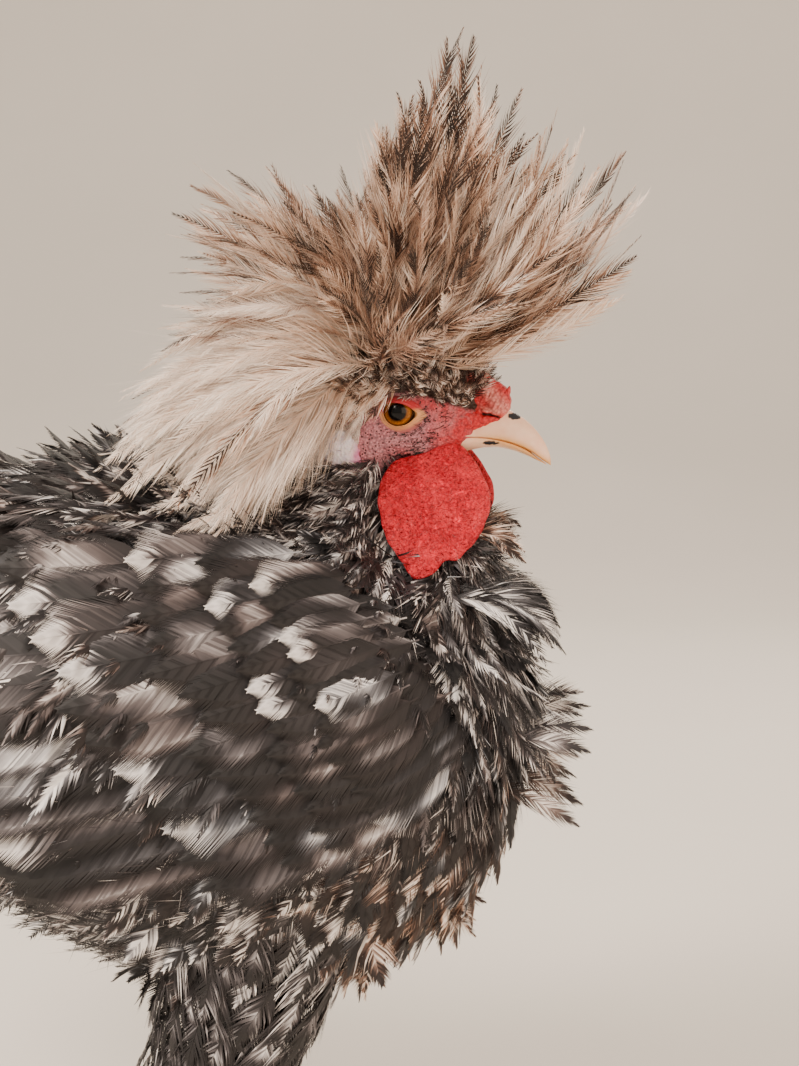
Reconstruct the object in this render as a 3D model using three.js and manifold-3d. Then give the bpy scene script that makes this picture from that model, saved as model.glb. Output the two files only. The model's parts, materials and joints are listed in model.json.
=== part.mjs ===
// A life-size crested cockerel, standing on both feet with its neck drawn in and its head in profile.
// Millimetres. +X is where the beak points, +Y is the bird's left, +Z is up, and the soles lie on z = 0.
// Sizes are written from a point on the floor under the hips, and the last lines centre the bird.
import * as THREE from "three";
import { mergeVertices } from "three/addons/utils/BufferGeometryUtils.js";
import Module from "manifold-3d";

const wasm = await Module();
wasm.setup();

// Driving sizes
const GAP = 0.3; // clearance kept between neighbouring pieces
const SINK = 3; // how deep a feather's root sits in what carries it
const BLADE = 0.8; // thickness of a feather
const SLIVER = 0.08; // detail smaller than this is smoothed out of a joined piece
const EYE = { x: 60, y: 10.8, z: 350, radius: 5.4 };
const SIDES = [
  { name: "right", sign: -1 },
  { name: "left", sign: 1 },
];

// The trunk, to the outside of its small feathers: an egg of elliptical sections across X.
const TRUNK = {
  middleX: -17, // where its length is halved
  halfLength: 135,
  axisZ: 238, // height of its axis under the breast
  shoulderRise: 12, // how much higher the axis lies behind the shoulders
  rumpRise: 18, // how much it rises again to the tail
  halfHeight: 83,
  rumpHalfHeight: 57,
  halfWidth: 76,
  rumpHalfWidth: 64,
  roundness: 2.3, // exponent that rounds both ends
};

// The neck's stops from the nape down: x, y, z, half-width, half-depth.
const NECK = [
  [45, 0, 333, 17, 20],
  [43, 0, 319, 25, 31],
  [38, 0, 302, 39, 49],
  [30, 0, 262, 58, 68],
];

// The skull from the beak's root to the nape: offset from the eye in x and z, half-height, half-width.
const SKULL = [
  [26, -2, 7.5, 6.5],
  [20, -3.5, 11, 9.2],
  [11, -4.5, 15, 12],
  [1, -5.5, 18, 14.2],
  [-9, -7, 20, 16.2],
  [-19, -9, 20.5, 17],
  [-29, -12, 18.5, 15.5],
  [-35, -15, 13, 11],
];
// The bony knob under the crest: offset from the eye, then its half-axes.
const KNOB = { x: -3, z: 13, rx: 17, ry: 13.5, rz: 12 };

// The beak's stations: offset from the eye in x, upper edge, biting edge, lower edge, half-width.
const BEAK = [
  [19, 2, -9.4, -14, 7.6],
  [27, 2.4, -9.6, -13, 6.6],
  [33, 1.6, -9.9, -13.1, 5.6],
  [38, -0.8, -11, -14, 4.6],
  [42.5, -4.4, -13.2, -15.4, 3.5],
  [46, -9, -15.8, -16.8, 2.3],
  [48.6, -14.6, -17.6, -17.9, 1],
];

const CREST = { count: 38, padThickness: 4, width: 17, clearance: 13, breadth: 64 };
// How far the crest reaches from the knob, in even steps of direction from 30 degrees above straight
// ahead, over the top and down to 240 degrees behind.
const CREST_REACH = [91, 99, 92, 101, 80, 64, 76, 84, 78, 70, 80, 96, 99, 90, 62];
// Which way a crest feather ends, in degrees above straight ahead, by the way its root looks.
const CREST_TURN = [
  [-20, 26],
  [0, 33],
  [45, 57],
  [90, 90],
  [135, 146],
  [180, 196],
  [210, 226],
  [240, 242],
];
const HACKLE_ROWS = [
  { z: 330, count: 6, length: 62, width: 21 },
  { z: 315, count: 7, length: 78, width: 30 },
  { z: 299, count: 8, length: 84, width: 35 },
];
const SADDLE = { rows: 2, perRow: 3, width: 26, length: 80 };
const TAIL = { x: -140, z: 284, rx: 26, ry: 25, rz: 20 };

// The leg: the hip's place sideways, the hock, and where the toes meet.
const LEG = { y: 40, hockX: -12, hockZ: 101, footX: 8, footZ: 7 };
const TOES = [
  { name: "inner", turn: -24, reach: 44, scutes: 3 },
  { name: "middle", turn: 3, reach: 56, scutes: 4 },
  { name: "outer", turn: 30, reach: 46, scutes: 3 },
  { name: "hind", turn: 170, reach: 22, scutes: 2 },
];
const CLAW_LENGTH = 12;

const UP = new THREE.Vector3(0, 0, 1);
const { clamp, lerp, smoothstep, degToRad, radToDeg } = THREE.MathUtils;
const point = (x, y, z) => new THREE.Vector3(x, y, z);

// Steady draws from 0 to 1: the same two numbers always give the same value.
function draw(index, channel) {
  const value = Math.sin(index * 12.9898 + channel * 78.233) * 43758.5453;
  return value - Math.floor(value);
}

const swing = (index, channel) => 2 * draw(index, channel) - 1;

// A smooth curve through a short table of values, read at any place between its ends.
function along(table, t) {
  const at = clamp(t, 0, 1) * (table.length - 1);
  const i = Math.min(Math.floor(at), table.length - 2);
  const f = at - i;
  const [a, b] = [table[i], table[i + 1]];
  const slopeA = (b - table[Math.max(i - 1, 0)]) / 2;
  const slopeB = (table[Math.min(i + 2, table.length - 1)] - a) / 2;
  const easeB = f * f * (3 - 2 * f);
  return a * (1 - easeB) + b * easeB + f * (1 - f) * ((1 - f) * slopeA - f * slopeB);
}

// A table of [place, value] rows, read straight between its rows.
function between(table, at) {
  const i = clamp(table.findIndex(([place]) => place > at), 1, table.length - 1);
  const [[from, low], [to, high]] = [table[i - 1], table[i]];
  return lerp(low, high, clamp((at - from) / (to - from), 0, 1));
}

// Solids

// A closed mesh of shared points becomes a solid, turned right side out.
function solidOf(geometry) {
  const bare = geometry.clone();
  bare.deleteAttribute("normal");
  bare.deleteAttribute("uv");
  const merged = mergeVertices(bare, 1e-4);
  const corners = new Uint32Array(merged.index.array);
  const vertProperties = new Float32Array(merged.attributes.position.array);
  const make = () =>
    new wasm.Manifold(new wasm.Mesh({ numProp: 3, vertProperties, triVerts: corners }));
  const made = make();
  if (made.volume() > 0) return made;
  for (let i = 0; i < corners.length; i += 3)
    [corners[i + 1], corners[i + 2]] = [corners[i + 2], corners[i + 1]];
  return make();
}

// The largest closed body of a solid, without the slivers that joining leaves.
function largest(solid) {
  const body = solid.decompose().reduce((a, b) => (a.volume() > b.volume() ? a : b));
  return body.simplify(SLIVER);
}

const joined = (solids) => solids.reduce((a, b) => a.add(b));

// What is left of a solid once each of its neighbours, made larger by the gap, is cut away.
const clearOf = (solid, neighbours) => largest(neighbours.reduce((a, b) => a.subtract(b), solid));

function geometryOf(solid) {
  const mesh = solid.getMesh();
  const places = new Float32Array(mesh.numVert * 3);
  for (let i = 0; i < mesh.numVert; i++) {
    const from = i * mesh.numProp;
    places.set(mesh.vertProperties.subarray(from, from + 3), i * 3);
  }
  const geometry = new THREE.BufferGeometry();
  geometry.setAttribute("position", new THREE.BufferAttribute(places, 3));
  geometry.setIndex(new THREE.BufferAttribute(mesh.triVerts, 1));
  geometry.computeVertexNormals();
  return geometry;
}

function indexedSolid(places, corners) {
  const geometry = new THREE.BufferGeometry().setFromPoints(places);
  geometry.setIndex(corners);
  return solidOf(geometry);
}

// A closed skin over rings of equal count, with a fan over each end ring's middle.
function ringSolid(rings) {
  const count = rings[0].length;
  const places = rings.flat();
  const middle = (ring) => ring.reduce((sum, p) => sum.add(p), point(0, 0, 0)).divideScalar(count);
  places.push(middle(rings[0]), middle(rings.at(-1)));
  const [start, end] = [places.length - 2, places.length - 1];
  const lastRing = (rings.length - 1) * count;
  const corners = [];
  for (let j = 0; j < count; j++) {
    const next = (j + 1) % count;
    for (let i = 0; i < lastRing; i += count) {
      corners.push(i + j, i + next, i + count + next);
      corners.push(i + j, i + count + next, i + count + j);
    }
    corners.push(start, next, j);
    corners.push(end, lastRing + j, lastRing + next);
  }
  return indexedSolid(places, corners);
}

// One elliptical ring about a middle, spanned by two half-axes.
function ellipse(middle, sideways, upwards, count) {
  return Array.from({ length: count }, (_, j) => {
    const turn = (2 * Math.PI * j) / count;
    return middle
      .clone()
      .addScaledVector(sideways, Math.sin(turn))
      .addScaledVector(upwards, Math.cos(turn));
  });
}

// A limb: rings square to a path through stops of [x, y, z, half-width, half-depth].
// Every other ring is swollen by `ridge`, for scutes that overlap.
function limb(stops, count, steps, grow = 0, ridge = 0) {
  const read = (column, t) => along(stops.map((stop) => stop[column]), t);
  const place = (t) => point(read(0, t), read(1, t), read(2, t));
  const rings = [];
  for (let i = 0; i <= steps; i++) {
    const t = i / steps;
    const tangent = place(Math.min(t + 0.01, 1)).sub(place(Math.max(t - 0.01, 0))).normalize();
    const sideways = point(0, 1, 0).addScaledVector(tangent, -tangent.y).normalize();
    const upwards = tangent.clone().cross(sideways);
    const swell = grow + (i % 2 ? ridge : 0);
    rings.push(
      ellipse(
        place(t),
        sideways.multiplyScalar(read(3, t) + swell),
        upwards.multiplyScalar(read(4, t) + swell),
        count,
      ),
    );
  }
  return ringSolid(rings);
}

function ball(x, y, z, rx, ry, rz, across = 16, down = 10) {
  const geometry = new THREE.SphereGeometry(1, across, down);
  geometry.scale(rx, ry, rz);
  geometry.translate(x, y, z);
  return solidOf(geometry);
}

// A feather: a thin flat blade along a path of points. Both faces are split into triangles alike.
// `face` is the way its outer face looks at the root, and `outline` its width from root to tip.
const POINTED = [0.1, 0.7, 1, 0.85, 0.12];
const ROUNDED = [0.12, 0.85, 1, 0.95, 0.45];
function feather(path, face, width, outline, grow = 0) {
  const corners = [];
  const places = [];
  const last = path.length - 1;
  path.forEach((p, i) => {
    const tangent = path[Math.min(i + 1, last)].clone().sub(path[Math.max(i - 1, 0)]).normalize();
    const side = tangent.clone().cross(face).normalize();
    const normal = side.clone().cross(tangent);
    const half = (width / 2) * along(outline, i / last) + grow;
    const thick = BLADE / 2 + grow;
    for (const [across, over] of [[-half, thick], [half, thick], [half, -thick], [-half, -thick]])
      places.push(p.clone().addScaledVector(side, across).addScaledVector(normal, over));
    if (i === last) return;
    const [a, b, c, d] = [0, 1, 2, 3].map((j) => 4 * i + j);
    corners.push(a, b, b + 4, a, b + 4, a + 4, b, c, c + 4, b, c + 4, b + 4);
    corners.push(c, d, c + 4, d, d + 4, c + 4, d, a, a + 4, d, a + 4, d + 4);
  });
  const [a, b, c, d] = [0, 1, 2, 3].map((j) => 4 * last + j);
  corners.push(0, 3, 2, 0, 2, 1, a, b, c, a, c, d);
  return indexedSolid(places, corners);
}

// Surfaces that feathers follow

function trunkSection(x) {
  const u = clamp((x - TRUNK.middleX) / TRUNK.halfLength, -1, 1);
  const rear = Math.max(0, -u);
  const end = (1 - Math.abs(u) ** TRUNK.roundness) ** (1 / TRUNK.roundness);
  return {
    z: TRUNK.axisZ + TRUNK.shoulderRise * smoothstep(-x, -45, 55) + TRUNK.rumpRise * rear ** 1.3,
    halfHeight: end * lerp(TRUNK.halfHeight, TRUNK.rumpHalfHeight, rear),
    halfWidth: end * lerp(TRUNK.halfWidth, TRUNK.rumpHalfWidth, rear),
  };
}

// Moves a point straight out from the trunk's axis until it is at least `height` above the trunk.
function liftFromTrunk(p, height) {
  const { z, halfHeight, halfWidth } = trunkSection(p.x);
  if (halfWidth < 1) return;
  const ratio = Math.hypot(p.y / halfWidth, (p.z - z) / halfHeight);
  const radius = Math.hypot(p.y, p.z - z);
  if (radius < 1e-6 || radius - radius / ratio >= height) return;
  const scale = (radius / ratio + height) / radius;
  p.y *= scale;
  p.z = z + (p.z - z) * scale;
}

function neckSection(z) {
  const t = clamp((NECK[0][2] - z) / (NECK[0][2] - NECK.at(-1)[2]), 0, 1);
  const stops = NECK.map((stop) => (NECK[0][2] - stop[2]) / (NECK[0][2] - NECK.at(-1)[2]));
  const i = Math.min(stops.findLastIndex((stop) => stop <= t), NECK.length - 2);
  const f = (t - stops[i]) / (stops[i + 1] - stops[i]);
  const read = (column) => lerp(NECK[i][column], NECK[i + 1][column], f);
  return { x: read(0), halfWidth: read(3), halfDepth: read(4) };
}

// The same for the neck, level by level.
function liftFromNeck(p, height) {
  if (p.z < NECK.at(-1)[2] || p.z > NECK[0][2] + height) return;
  const { x, halfWidth, halfDepth } = neckSection(p.z);
  const ratio = Math.hypot((p.x - x) / halfDepth, p.y / halfWidth);
  const radius = Math.hypot(p.x - x, p.y);
  if (radius < 1e-6 || radius - radius / ratio >= height) return;
  const scale = (radius / ratio + height) / radius;
  p.x = x + (p.x - x) * scale;
  p.y *= scale;
}

// A path that starts at a root and lies over the body, its height above it read from `heights`.
function drape(root, aim, length, heights, steps = 4) {
  const path = [];
  const p = root.clone();
  for (let i = 0; i <= steps; i++) {
    const placed = p.clone();
    const height = along(heights, i / steps);
    if (i > 0 || height > 0) {
      liftFromTrunk(placed, height);
      liftFromNeck(placed, height);
    }
    path.push(placed);
    p.copy(placed).addScaledVector(aim, length / steps);
  }
  return path;
}

// A free path: straight out along `aim`, bent more and more by `sag`.
function arc(root, aim, length, sag, steps = 4) {
  return Array.from({ length: steps + 1 }, (_, i) => {
    const s = i / steps;
    return root.clone().addScaledVector(aim, length * s).addScaledVector(sag, length * s * s);
  });
}

// Trunk, neck and head cores

function trunkCore(grow = 0, steps = 15, count = 20) {
  const rings = [];
  for (let i = 1; i < steps; i++) {
    const u = -Math.cos((Math.PI * i) / steps);
    const { z, halfHeight, halfWidth } = trunkSection(TRUNK.middleX + TRUNK.halfLength * u);
    rings.push(
      ellipse(
        point(TRUNK.middleX + (TRUNK.halfLength + grow) * u, 0, z),
        point(0, halfWidth + grow, 0),
        point(0, 0, halfHeight + grow),
        count,
      ),
    );
  }
  return ringSolid(rings);
}

function knob(grow = 0) {
  const { x, z, rx, ry, rz } = KNOB;
  return ball(EYE.x + x, 0, EYE.z + z, rx + grow, ry + grow, rz + grow, 14, 6);
}

function headCore(grow = 0) {
  const rings = SKULL.map(([x, z, halfHeight, halfWidth]) =>
    ellipse(
      point(EYE.x + x, 0, EYE.z + z),
      point(0, halfWidth + grow, 0),
      point(0, 0, halfHeight + grow),
      18,
    ),
  );
  rings[0].forEach((p) => (p.x += grow));
  rings.at(-1).forEach((p) => (p.x -= grow));
  return ringSolid(rings).add(knob(grow));
}

// The beak between two of its edges, 1 upper, 2 biting and 3 lower.
function beak(upper, lower, grow = 0) {
  const rings = BEAK.map((station) => {
    const [x, top, bottom, halfWidth] = [station[0], station[upper], station[lower], station[4]];
    return ellipse(
      point(EYE.x + x, 0, EYE.z + (top + bottom) / 2),
      point(0, halfWidth + grow, 0),
      point(0, 0, Math.max((top - bottom) / 2, 0.3) + grow),
      14,
    );
  });
  rings.at(-1).forEach((p) => (p.x += grow));
  return ringSolid(rings);
}

// The eye's ball, its almond lids and the opening between them.
function eyeball(sign, grow = 0) {
  const radius = EYE.radius + grow;
  return ball(EYE.x, sign * EYE.y, EYE.z, radius, radius, radius, 12, 8);
}

const LID = { rx: 8.2, ry: 6.3, rz: 6.6, openX: 6, openZ: 4.1, tilt: 12 };

function lid(sign, grow = 0) {
  return ball(EYE.x, sign * EYE.y, EYE.z, LID.rx + grow, LID.ry + grow, LID.rz + grow, 14, 6);
}

const lids = (grow = 0) => joined(SIDES.map(({ sign }) => lid(sign, grow)));

function lidOpening(sign) {
  const geometry = new THREE.SphereGeometry(1, 12, 6);
  geometry.scale(LID.openX, 6, LID.openZ);
  geometry.rotateY(degToRad(LID.tilt));
  geometry.translate(EYE.x, sign * (EYE.y + 5), EYE.z - 0.4);
  return solidOf(geometry);
}

// Fleshy parts

// The comb: a low fleshy saddle over the beak's root, two small horns and a slit nostril each side.
function comb(grow = 0) {
  const flesh = ball(EYE.x + 26.4, 0, EYE.z + 4.8, 9.8 + grow, 7.4 + grow, 7 + grow, 12, 6);
  const horns = SIDES.map(({ sign }) =>
    limb(
      [
        [EYE.x + 31, sign * 3, EYE.z + 7, 2.6, 2.6],
        [EYE.x + 34, sign * 4.4, EYE.z + 11, 2, 2],
        [EYE.x + 35, sign * 5.6, EYE.z + 15, 0.8, 0.8],
      ],
      6,
      3,
      grow,
    ),
  );
  return joined([flesh, ...horns]);
}

function nostril(sign) {
  return ball(EYE.x + 29, sign * 7, EYE.z + 3, 3.2, 2.2, 0.9, 8, 4);
}

// A wattle: a soft bag with a round, notched outline, thick at its heart and creased along its length.
// Its reach from its middle is given every 15 degrees, from straight ahead, turning upwards.
const WATTLE = { x: 12, y: 8.2, z: -32, top: 20.5, halfThickness: 2.6, lean: 0.42 };
const WATTLE_REACH = [
  17.9, 18.7, 19.3, 19.7, 21.5, 22.9, 20, 18.9, 19.8, 20.6, 19.9, 18.4,
  17.2, 16.9, 16.9, 17.5, 18.6, 21, 19.4, 15.6, 16.8, 16.3, 16.5, 17, 17.9,
];
function wattle(sign, grow = 0) {
  const outlineCount = WATTLE_REACH.length - 1;
  const layers = [
    [0.3, 0.92],
    [0.75, 0.65],
    [1, 0],
    [0.75, -0.65],
    [0.3, -0.92],
  ];
  const rings = layers.map(([share, depth]) =>
    Array.from({ length: outlineCount }, (_, j) => {
      const turn = (2 * Math.PI * j) / outlineCount;
      const reach = share * (WATTLE_REACH[j] + grow);
      const x = WATTLE.x + reach * Math.cos(turn);
      const z = WATTLE.z + reach * Math.sin(turn);
      const crease = 0.9 * Math.sin((z - WATTLE.z) * 0.42 + x * 0.12) * (1 - share * 0.4);
      const lean = WATTLE.lean * (WATTLE.z + WATTLE.top - z);
      const y = WATTLE.y + lean + crease + (WATTLE.halfThickness + grow) * depth;
      return point(EYE.x + x, sign * y, EYE.z + z);
    }),
  );
  return ringSolid(rings);
}

function earlobe(sign, grow = 0) {
  return ball(EYE.x - 20, sign * 16.4, EYE.z - 18, 5.4 + grow, 2.6 + grow, 9.6 + grow, 12, 6);
}

// Plumage

// The crest: feathers fan out of a pad on the knob, upright ahead and falling back over the nape.
function crestPad(grow = 0) {
  const { x, z, rx, ry, rz } = KNOB;
  const thick = CREST.padThickness + grow;
  return ball(EYE.x + x - 3, 0, EYE.z + z + 2, rx + thick, ry + thick, rz + thick, 14, 7);
}

// Where a crest feather ends: its direction turns with its root's, and its reach is the crest's own there.
function crestTip(normal, i) {
  const lookAhead = radToDeg(Math.atan2(normal.z + 0.05, normal.x));
  const around = lookAhead < -60 ? lookAhead + 360 : lookAhead;
  const lean = between(CREST_TURN, around) + 6 * swing(i, 1);
  const reach = along(CREST_REACH, (lean - 30) / 210) * (0.99 + 0.04 * swing(i, 3));
  const sideways = degToRad(66) * normal.y * (1 + 0.12 * swing(i, 2));
  const across = Math.abs(Math.sin(sideways)) ** 2;
  const level = reach * Math.cos(sideways) ** 0.6;
  return point(
    EYE.x + KNOB.x + level * Math.cos(degToRad(lean)) - 14 * across,
    CREST.breadth * Math.sin(sideways),
    EYE.z + KNOB.z + level * Math.sin(degToRad(lean)) - 16 * across,
  );
}

function crestFeather(i, grow) {
  // golden-angle places on a cap that leans back
  const golden = Math.PI * (3 - Math.sqrt(5));
  const share = (i + 0.5) / CREST.count;
  const fall = degToRad(103 * Math.sqrt(share));
  const turn = golden * i;
  const ahead = Math.sin(fall) * Math.cos(turn);
  const sideways = Math.sin(fall) * Math.sin(turn);
  const { x, z, rx, ry, rz } = KNOB;
  const normal = point(ahead - 0.2, sideways, Math.cos(fall) + 0.14).normalize();
  const root = point(
    EYE.x + x - 3 + normal.x * (rx + CREST.padThickness - SINK),
    normal.y * (ry + CREST.padThickness - SINK),
    EYE.z + z + 2 + normal.z * (rz + CREST.padThickness - SINK),
  );
  // out of the pad to a knee, then on to the tip
  const tip = crestTip(normal, i);
  const rise = normal.clone().addScaledVector(UP, 0.35).normalize();
  const knee = root.clone().addScaledVector(rise, 0.5 * root.distanceTo(tip));
  const path = new THREE.QuadraticBezierCurve3(root, knee, tip).getPoints(4);
  path.slice(1).forEach((p) => {
    liftFromTrunk(p, CREST.clearance);
    liftFromNeck(p, CREST.clearance);
  });
  const face = normal.clone().addScaledVector(UP, 0.3);
  face.y += 0.9 * swing(i, 5) * (1 - Math.abs(normal.y));
  return feather(path, face, CREST.width * (1 + 0.15 * swing(i, 4)), POINTED, grow);
}

function crestFeathers(grow = 0) {
  return Array.from({ length: CREST.count }, (_, i) => crestFeather(i, grow));
}

// The hackle: rows of pointed feathers round the neck, each row lying over the one below it.
function hackleFeathers(grow = 0) {
  return HACKLE_ROWS.flatMap((row, level) =>
    Array.from({ length: row.count }, (_, k) => {
      const seed = 200 + 40 * level + k;
      const turn = ((k + 0.5 * (level % 2) + 0.12 * swing(seed, 1)) * 2 * Math.PI) / row.count;
      const { x, halfWidth, halfDepth } = neckSection(row.z);
      const out = point(Math.cos(turn), Math.sin(turn), 0);
      const root = point(
        x + out.x * (halfDepth - SINK),
        out.y * (halfWidth - SINK),
        row.z,
      );
      const ahead = clamp(out.x, 0, 1);
      const aim = point(0.35 * out.x - 0.62 * (1 - ahead), 0.45 * out.y, -0.8 - 0.3 * ahead).normalize();
      const lie = 2.2 * (HACKLE_ROWS.length - 1 - level);
      const length = row.length * (1 + 0.1 * swing(seed, 2)) * (1 - 0.3 * ahead);
      const path = drape(root, aim, length, [-SINK, 3 + 0.4 * lie, 4 + 0.8 * lie, 5.5 + lie, 9 + lie]);
      return feather(path, out.clone().addScaledVector(UP, 0.5), row.width, POINTED, grow);
    }),
  );
}

// The saddle: narrow feathers from the rump, falling over the tail's sides.
function saddleFeathers(grow = 0) {
  const made = [];
  for (const { sign } of SIDES)
    for (let row = 0; row < SADDLE.rows; row++)
      for (let k = 0; k < SADDLE.perRow; k++) {
        const seed = 400 + 10 * row + k;
        const x = lerp(-70, -112, row / (SADDLE.rows - 1));
        const turn = degToRad(14 + 23 * k + 5 * swing(seed, 1));
        const { z, halfHeight, halfWidth } = trunkSection(x);
        const root = point(
          x,
          sign * (halfWidth - SINK) * Math.sin(turn),
          z + (halfHeight - SINK) * Math.cos(turn),
        );
        const aim = point(-0.9, sign * 0.28, -0.26 - 0.14 * k).normalize();
        const length = SADDLE.length * (1 + 0.1 * swing(seed, 2)) * (1 - 0.1 * row);
        const lie = 2 * (SADDLE.rows - 1 - row);
        const path = drape(root, aim, length, [-SINK, 3, 4.4 + lie, 6 + lie, 9 + lie]);
        const face = point(0.2, sign * Math.sin(turn), Math.cos(turn));
        made.push(feather(path, face, SADDLE.width, POINTED, grow));
      }
  return made;
}

// The tail: a tent of stiff feathers, two long sickles over it, lesser sickles and coverts at its sides.
const TAIL_TIERS = [
  { count: 6, first: 57, last: 12, length: 142, width: 28, splay: 0.16, y: [2, 11], bend: -0.08, x: -150 },
  { count: 1, first: 72, last: 72, length: 258, width: 22, splay: 0.12, y: [5, 5], bend: -0.52, x: -146 },
  { count: 3, first: 66, last: 34, length: 176, width: 19, splay: 0.2, y: [9, 16], bend: -0.5, x: -142 },
  { count: 2, first: 48, last: 18, length: 92, width: 26, splay: 0.3, y: [16, 22], bend: -0.3, x: -138 },
];
function tailFeathers(grow = 0) {
  const made = [];
  for (const { sign } of SIDES)
    TAIL_TIERS.forEach((tier, level) => {
      for (let k = 0; k < tier.count; k++) {
        const share = tier.count > 1 ? k / (tier.count - 1) : 0;
        const seed = 500 + 20 * level + k;
        const rise = degToRad(lerp(tier.first, tier.last, share) + 2 * swing(seed, 1));
        const splay = tier.splay * (0.3 + share);
        const aim = point(-Math.cos(rise), sign * splay, Math.sin(rise)).normalize();
        const root = point(
          tier.x + 6 * Math.cos(rise),
          sign * lerp(tier.y[0], tier.y[1], share),
          TAIL.z + 6 * Math.sin(rise) - 4,
        );
        const length = tier.length * (1 - 0.12 * share) * (1 + 0.04 * swing(seed, 2));
        const sag = point(0.55 * tier.bend, 0.04 * sign, tier.bend);
        const face = point(0, sign, 0.12);
        const outline = level ? POINTED : ROUNDED;
        made.push(feather(arc(root, aim, length, sag, 5), face, tier.width, outline, grow));
      }
    });
  return made;
}

const tailStub = (grow = 0) =>
  ball(TAIL.x, 0, TAIL.z, TAIL.rx + grow, TAIL.ry + grow, TAIL.rz + grow, 12, 8);

// A point on the trunk's flank at a height above it.
function onFlank(sign, x, z, height) {
  const section = trunkSection(x);
  const rise = clamp((z - section.z) / section.halfHeight, -0.94, 0.94);
  const out = point(0, sign * Math.sqrt(1 - rise * rise), rise * 0.8).normalize();
  return point(x, sign * section.halfWidth * Math.sqrt(1 - rise * rise), z).addScaledVector(out, height);
}

// The folded wing's fleshy part: x, lower edge, upper edge and height above the flank.
const WING = [
  [84, 250, 268, 3],
  [74, 234, 284, 9],
  [50, 223, 296, 13],
  [16, 225, 306, 13],
  [-20, 233, 308, 11],
  [-52, 246, 301, 7],
  [-74, 258, 288, 3],
];
function wingCore(sign, grow = 0) {
  const rings = WING.map(([x, low, high, height]) =>
    Array.from({ length: 14 }, (_, j) => {
      const turn = (2 * Math.PI * j) / 14;
      const z = (low + high) / 2 + ((high - low) / 2 + grow) * Math.cos(turn);
      return onFlank(sign, x, z, (height + grow) * Math.max(Math.sin(turn), 0) - 6 * Math.max(-Math.sin(turn), 0));
    }),
  );
  return ringSolid(rings);
}

// The wing's tiers, the lowest first: where the first and last feather root, their length and lie.
const WING_TIERS = [
  { count: 3, from: [-30, 270], to: [10, 244], length: [122, 112], drop: [0.06, 0.1], height: 3.4, width: 19 },
  { count: 5, from: [-34, 299], to: [34, 233], length: [78, 88], drop: [0.06, 0.3], height: 6.4, width: 28 },
  { count: 4, from: [-6, 301], to: [52, 234], length: [46, 46], drop: [0.08, 0.4], height: 9.6, width: 30 },
  { count: 3, from: [20, 299], to: [66, 241], length: [38, 36], drop: [0.08, 0.45], height: 12.2, width: 30 },
];
function wingFeathers(sign, grow = 0) {
  return WING_TIERS.flatMap((tier, level) =>
    Array.from({ length: tier.count }, (_, k) => {
      const share = k / (tier.count - 1);
      const seed = 600 + 20 * level + k;
      const x = lerp(tier.from[0], tier.to[0], share);
      const z = lerp(tier.from[1], tier.to[1], share);
      const length = lerp(tier.length[0], tier.length[1], share) * (1 + 0.05 * swing(seed, 1));
      const drop = lerp(tier.drop[0], tier.drop[1], share);
      const steps = 3;
      // each feather lies a little over the one below it
      const height = tier.height - 0.14 * k;
      const path = Array.from({ length: steps + 1 }, (_, i) => {
        const s = i / steps;
        const reach = length * s;
        return onFlank(sign, x - reach, z - drop * reach, lerp(height - 2.4, height + 1.6, s));
      });
      return feather(path, point(0, sign, 0.3), tier.width, ROUNDED, grow);
    }),
  );
}

// Legs

function thighStops(sign) {
  const y = sign * LEG.y;
  return [
    [22, y, 196, 25, 38],
    [12, y, 156, 21, 30],
    [-4, y, 124, 13, 18],
    [LEG.hockX, y, LEG.hockZ + 3, 8, 9],
  ];
}

function shank(sign, grow = 0) {
  const y = sign * LEG.y;
  return limb(
    [
      [LEG.hockX, y, LEG.hockZ + 2.6, 6.4, 8],
      [LEG.hockX + 3, y, LEG.hockZ - 22, 5, 6],
      [LEG.footX - 7, y, 46, 4.8, 5.6],
      [LEG.footX - 1, y, 18, 5.6, 6.4],
      [LEG.footX, y, LEG.footZ, 7, 8],
    ],
    8,
    10,
    grow,
    0.7,
  );
}

// A toe's stops from its root to its claw's root, along the floor.
function toeStep(sign, toe, reach, z, halfWidth, halfDepth) {
  const turn = sign * degToRad(toe.turn);
  const x = LEG.footX + reach * Math.cos(turn);
  const y = sign * LEG.y + reach * Math.sin(turn);
  return [x, y, z, halfWidth, halfDepth];
}

function toeSolid(sign, toe) {
  const at = (share, z, halfWidth, halfDepth) =>
    toeStep(sign, toe, share * toe.reach, z, halfWidth, halfDepth);
  const stops = [at(0, 6.4, 5, 5.6), at(0.34, 4.6, 4.5, 4.8), at(0.7, 3.9, 4.2, 4.3), at(1, 3.4, 3.2, 3.6)];
  return limb(stops, 7, 2 * toe.scutes, 0, 0.6);
}

function claw(sign, toe) {
  const at = (reach, z, halfWidth, halfDepth) =>
    toeStep(sign, toe, toe.reach + reach, z, halfWidth, halfDepth);
  const stops = [
    at(GAP, 3.6, 2.1, 2.4),
    at(CLAW_LENGTH * 0.5, 3.9, 1.6, 1.9),
    at(CLAW_LENGTH, 1.1, 0.5, 0.6),
  ];
  return limb(stops, 6, 3).trimByPlane([0, 0, 1], 0);
}

const SPUR = { z: 38, length: 9 };
function spur(sign) {
  const x = LEG.footX - 6.4;
  const y = sign * LEG.y;
  const inward = -sign;
  return limb(
    [
      [x - 6, y + inward * 2, SPUR.z, 2.6, 2.6],
      [x - 9, y + inward * 4, SPUR.z, 2, 2],
      [x - 6 - SPUR.length, y + inward * 6, SPUR.z + 2, 0.6, 0.6],
    ],
    6,
    3,
  );
}

// The bird

const FLESH = "#c23a40";
const PLUME = "#4d4e52";
const CREAM = "#c9b49b";
const HORN = "#d9b99a";
const SLATE = "#70767b";
const CLAW = "#3f3d3b";
const AMBER = "#9a5714";

const bird = new THREE.Group();

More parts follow.
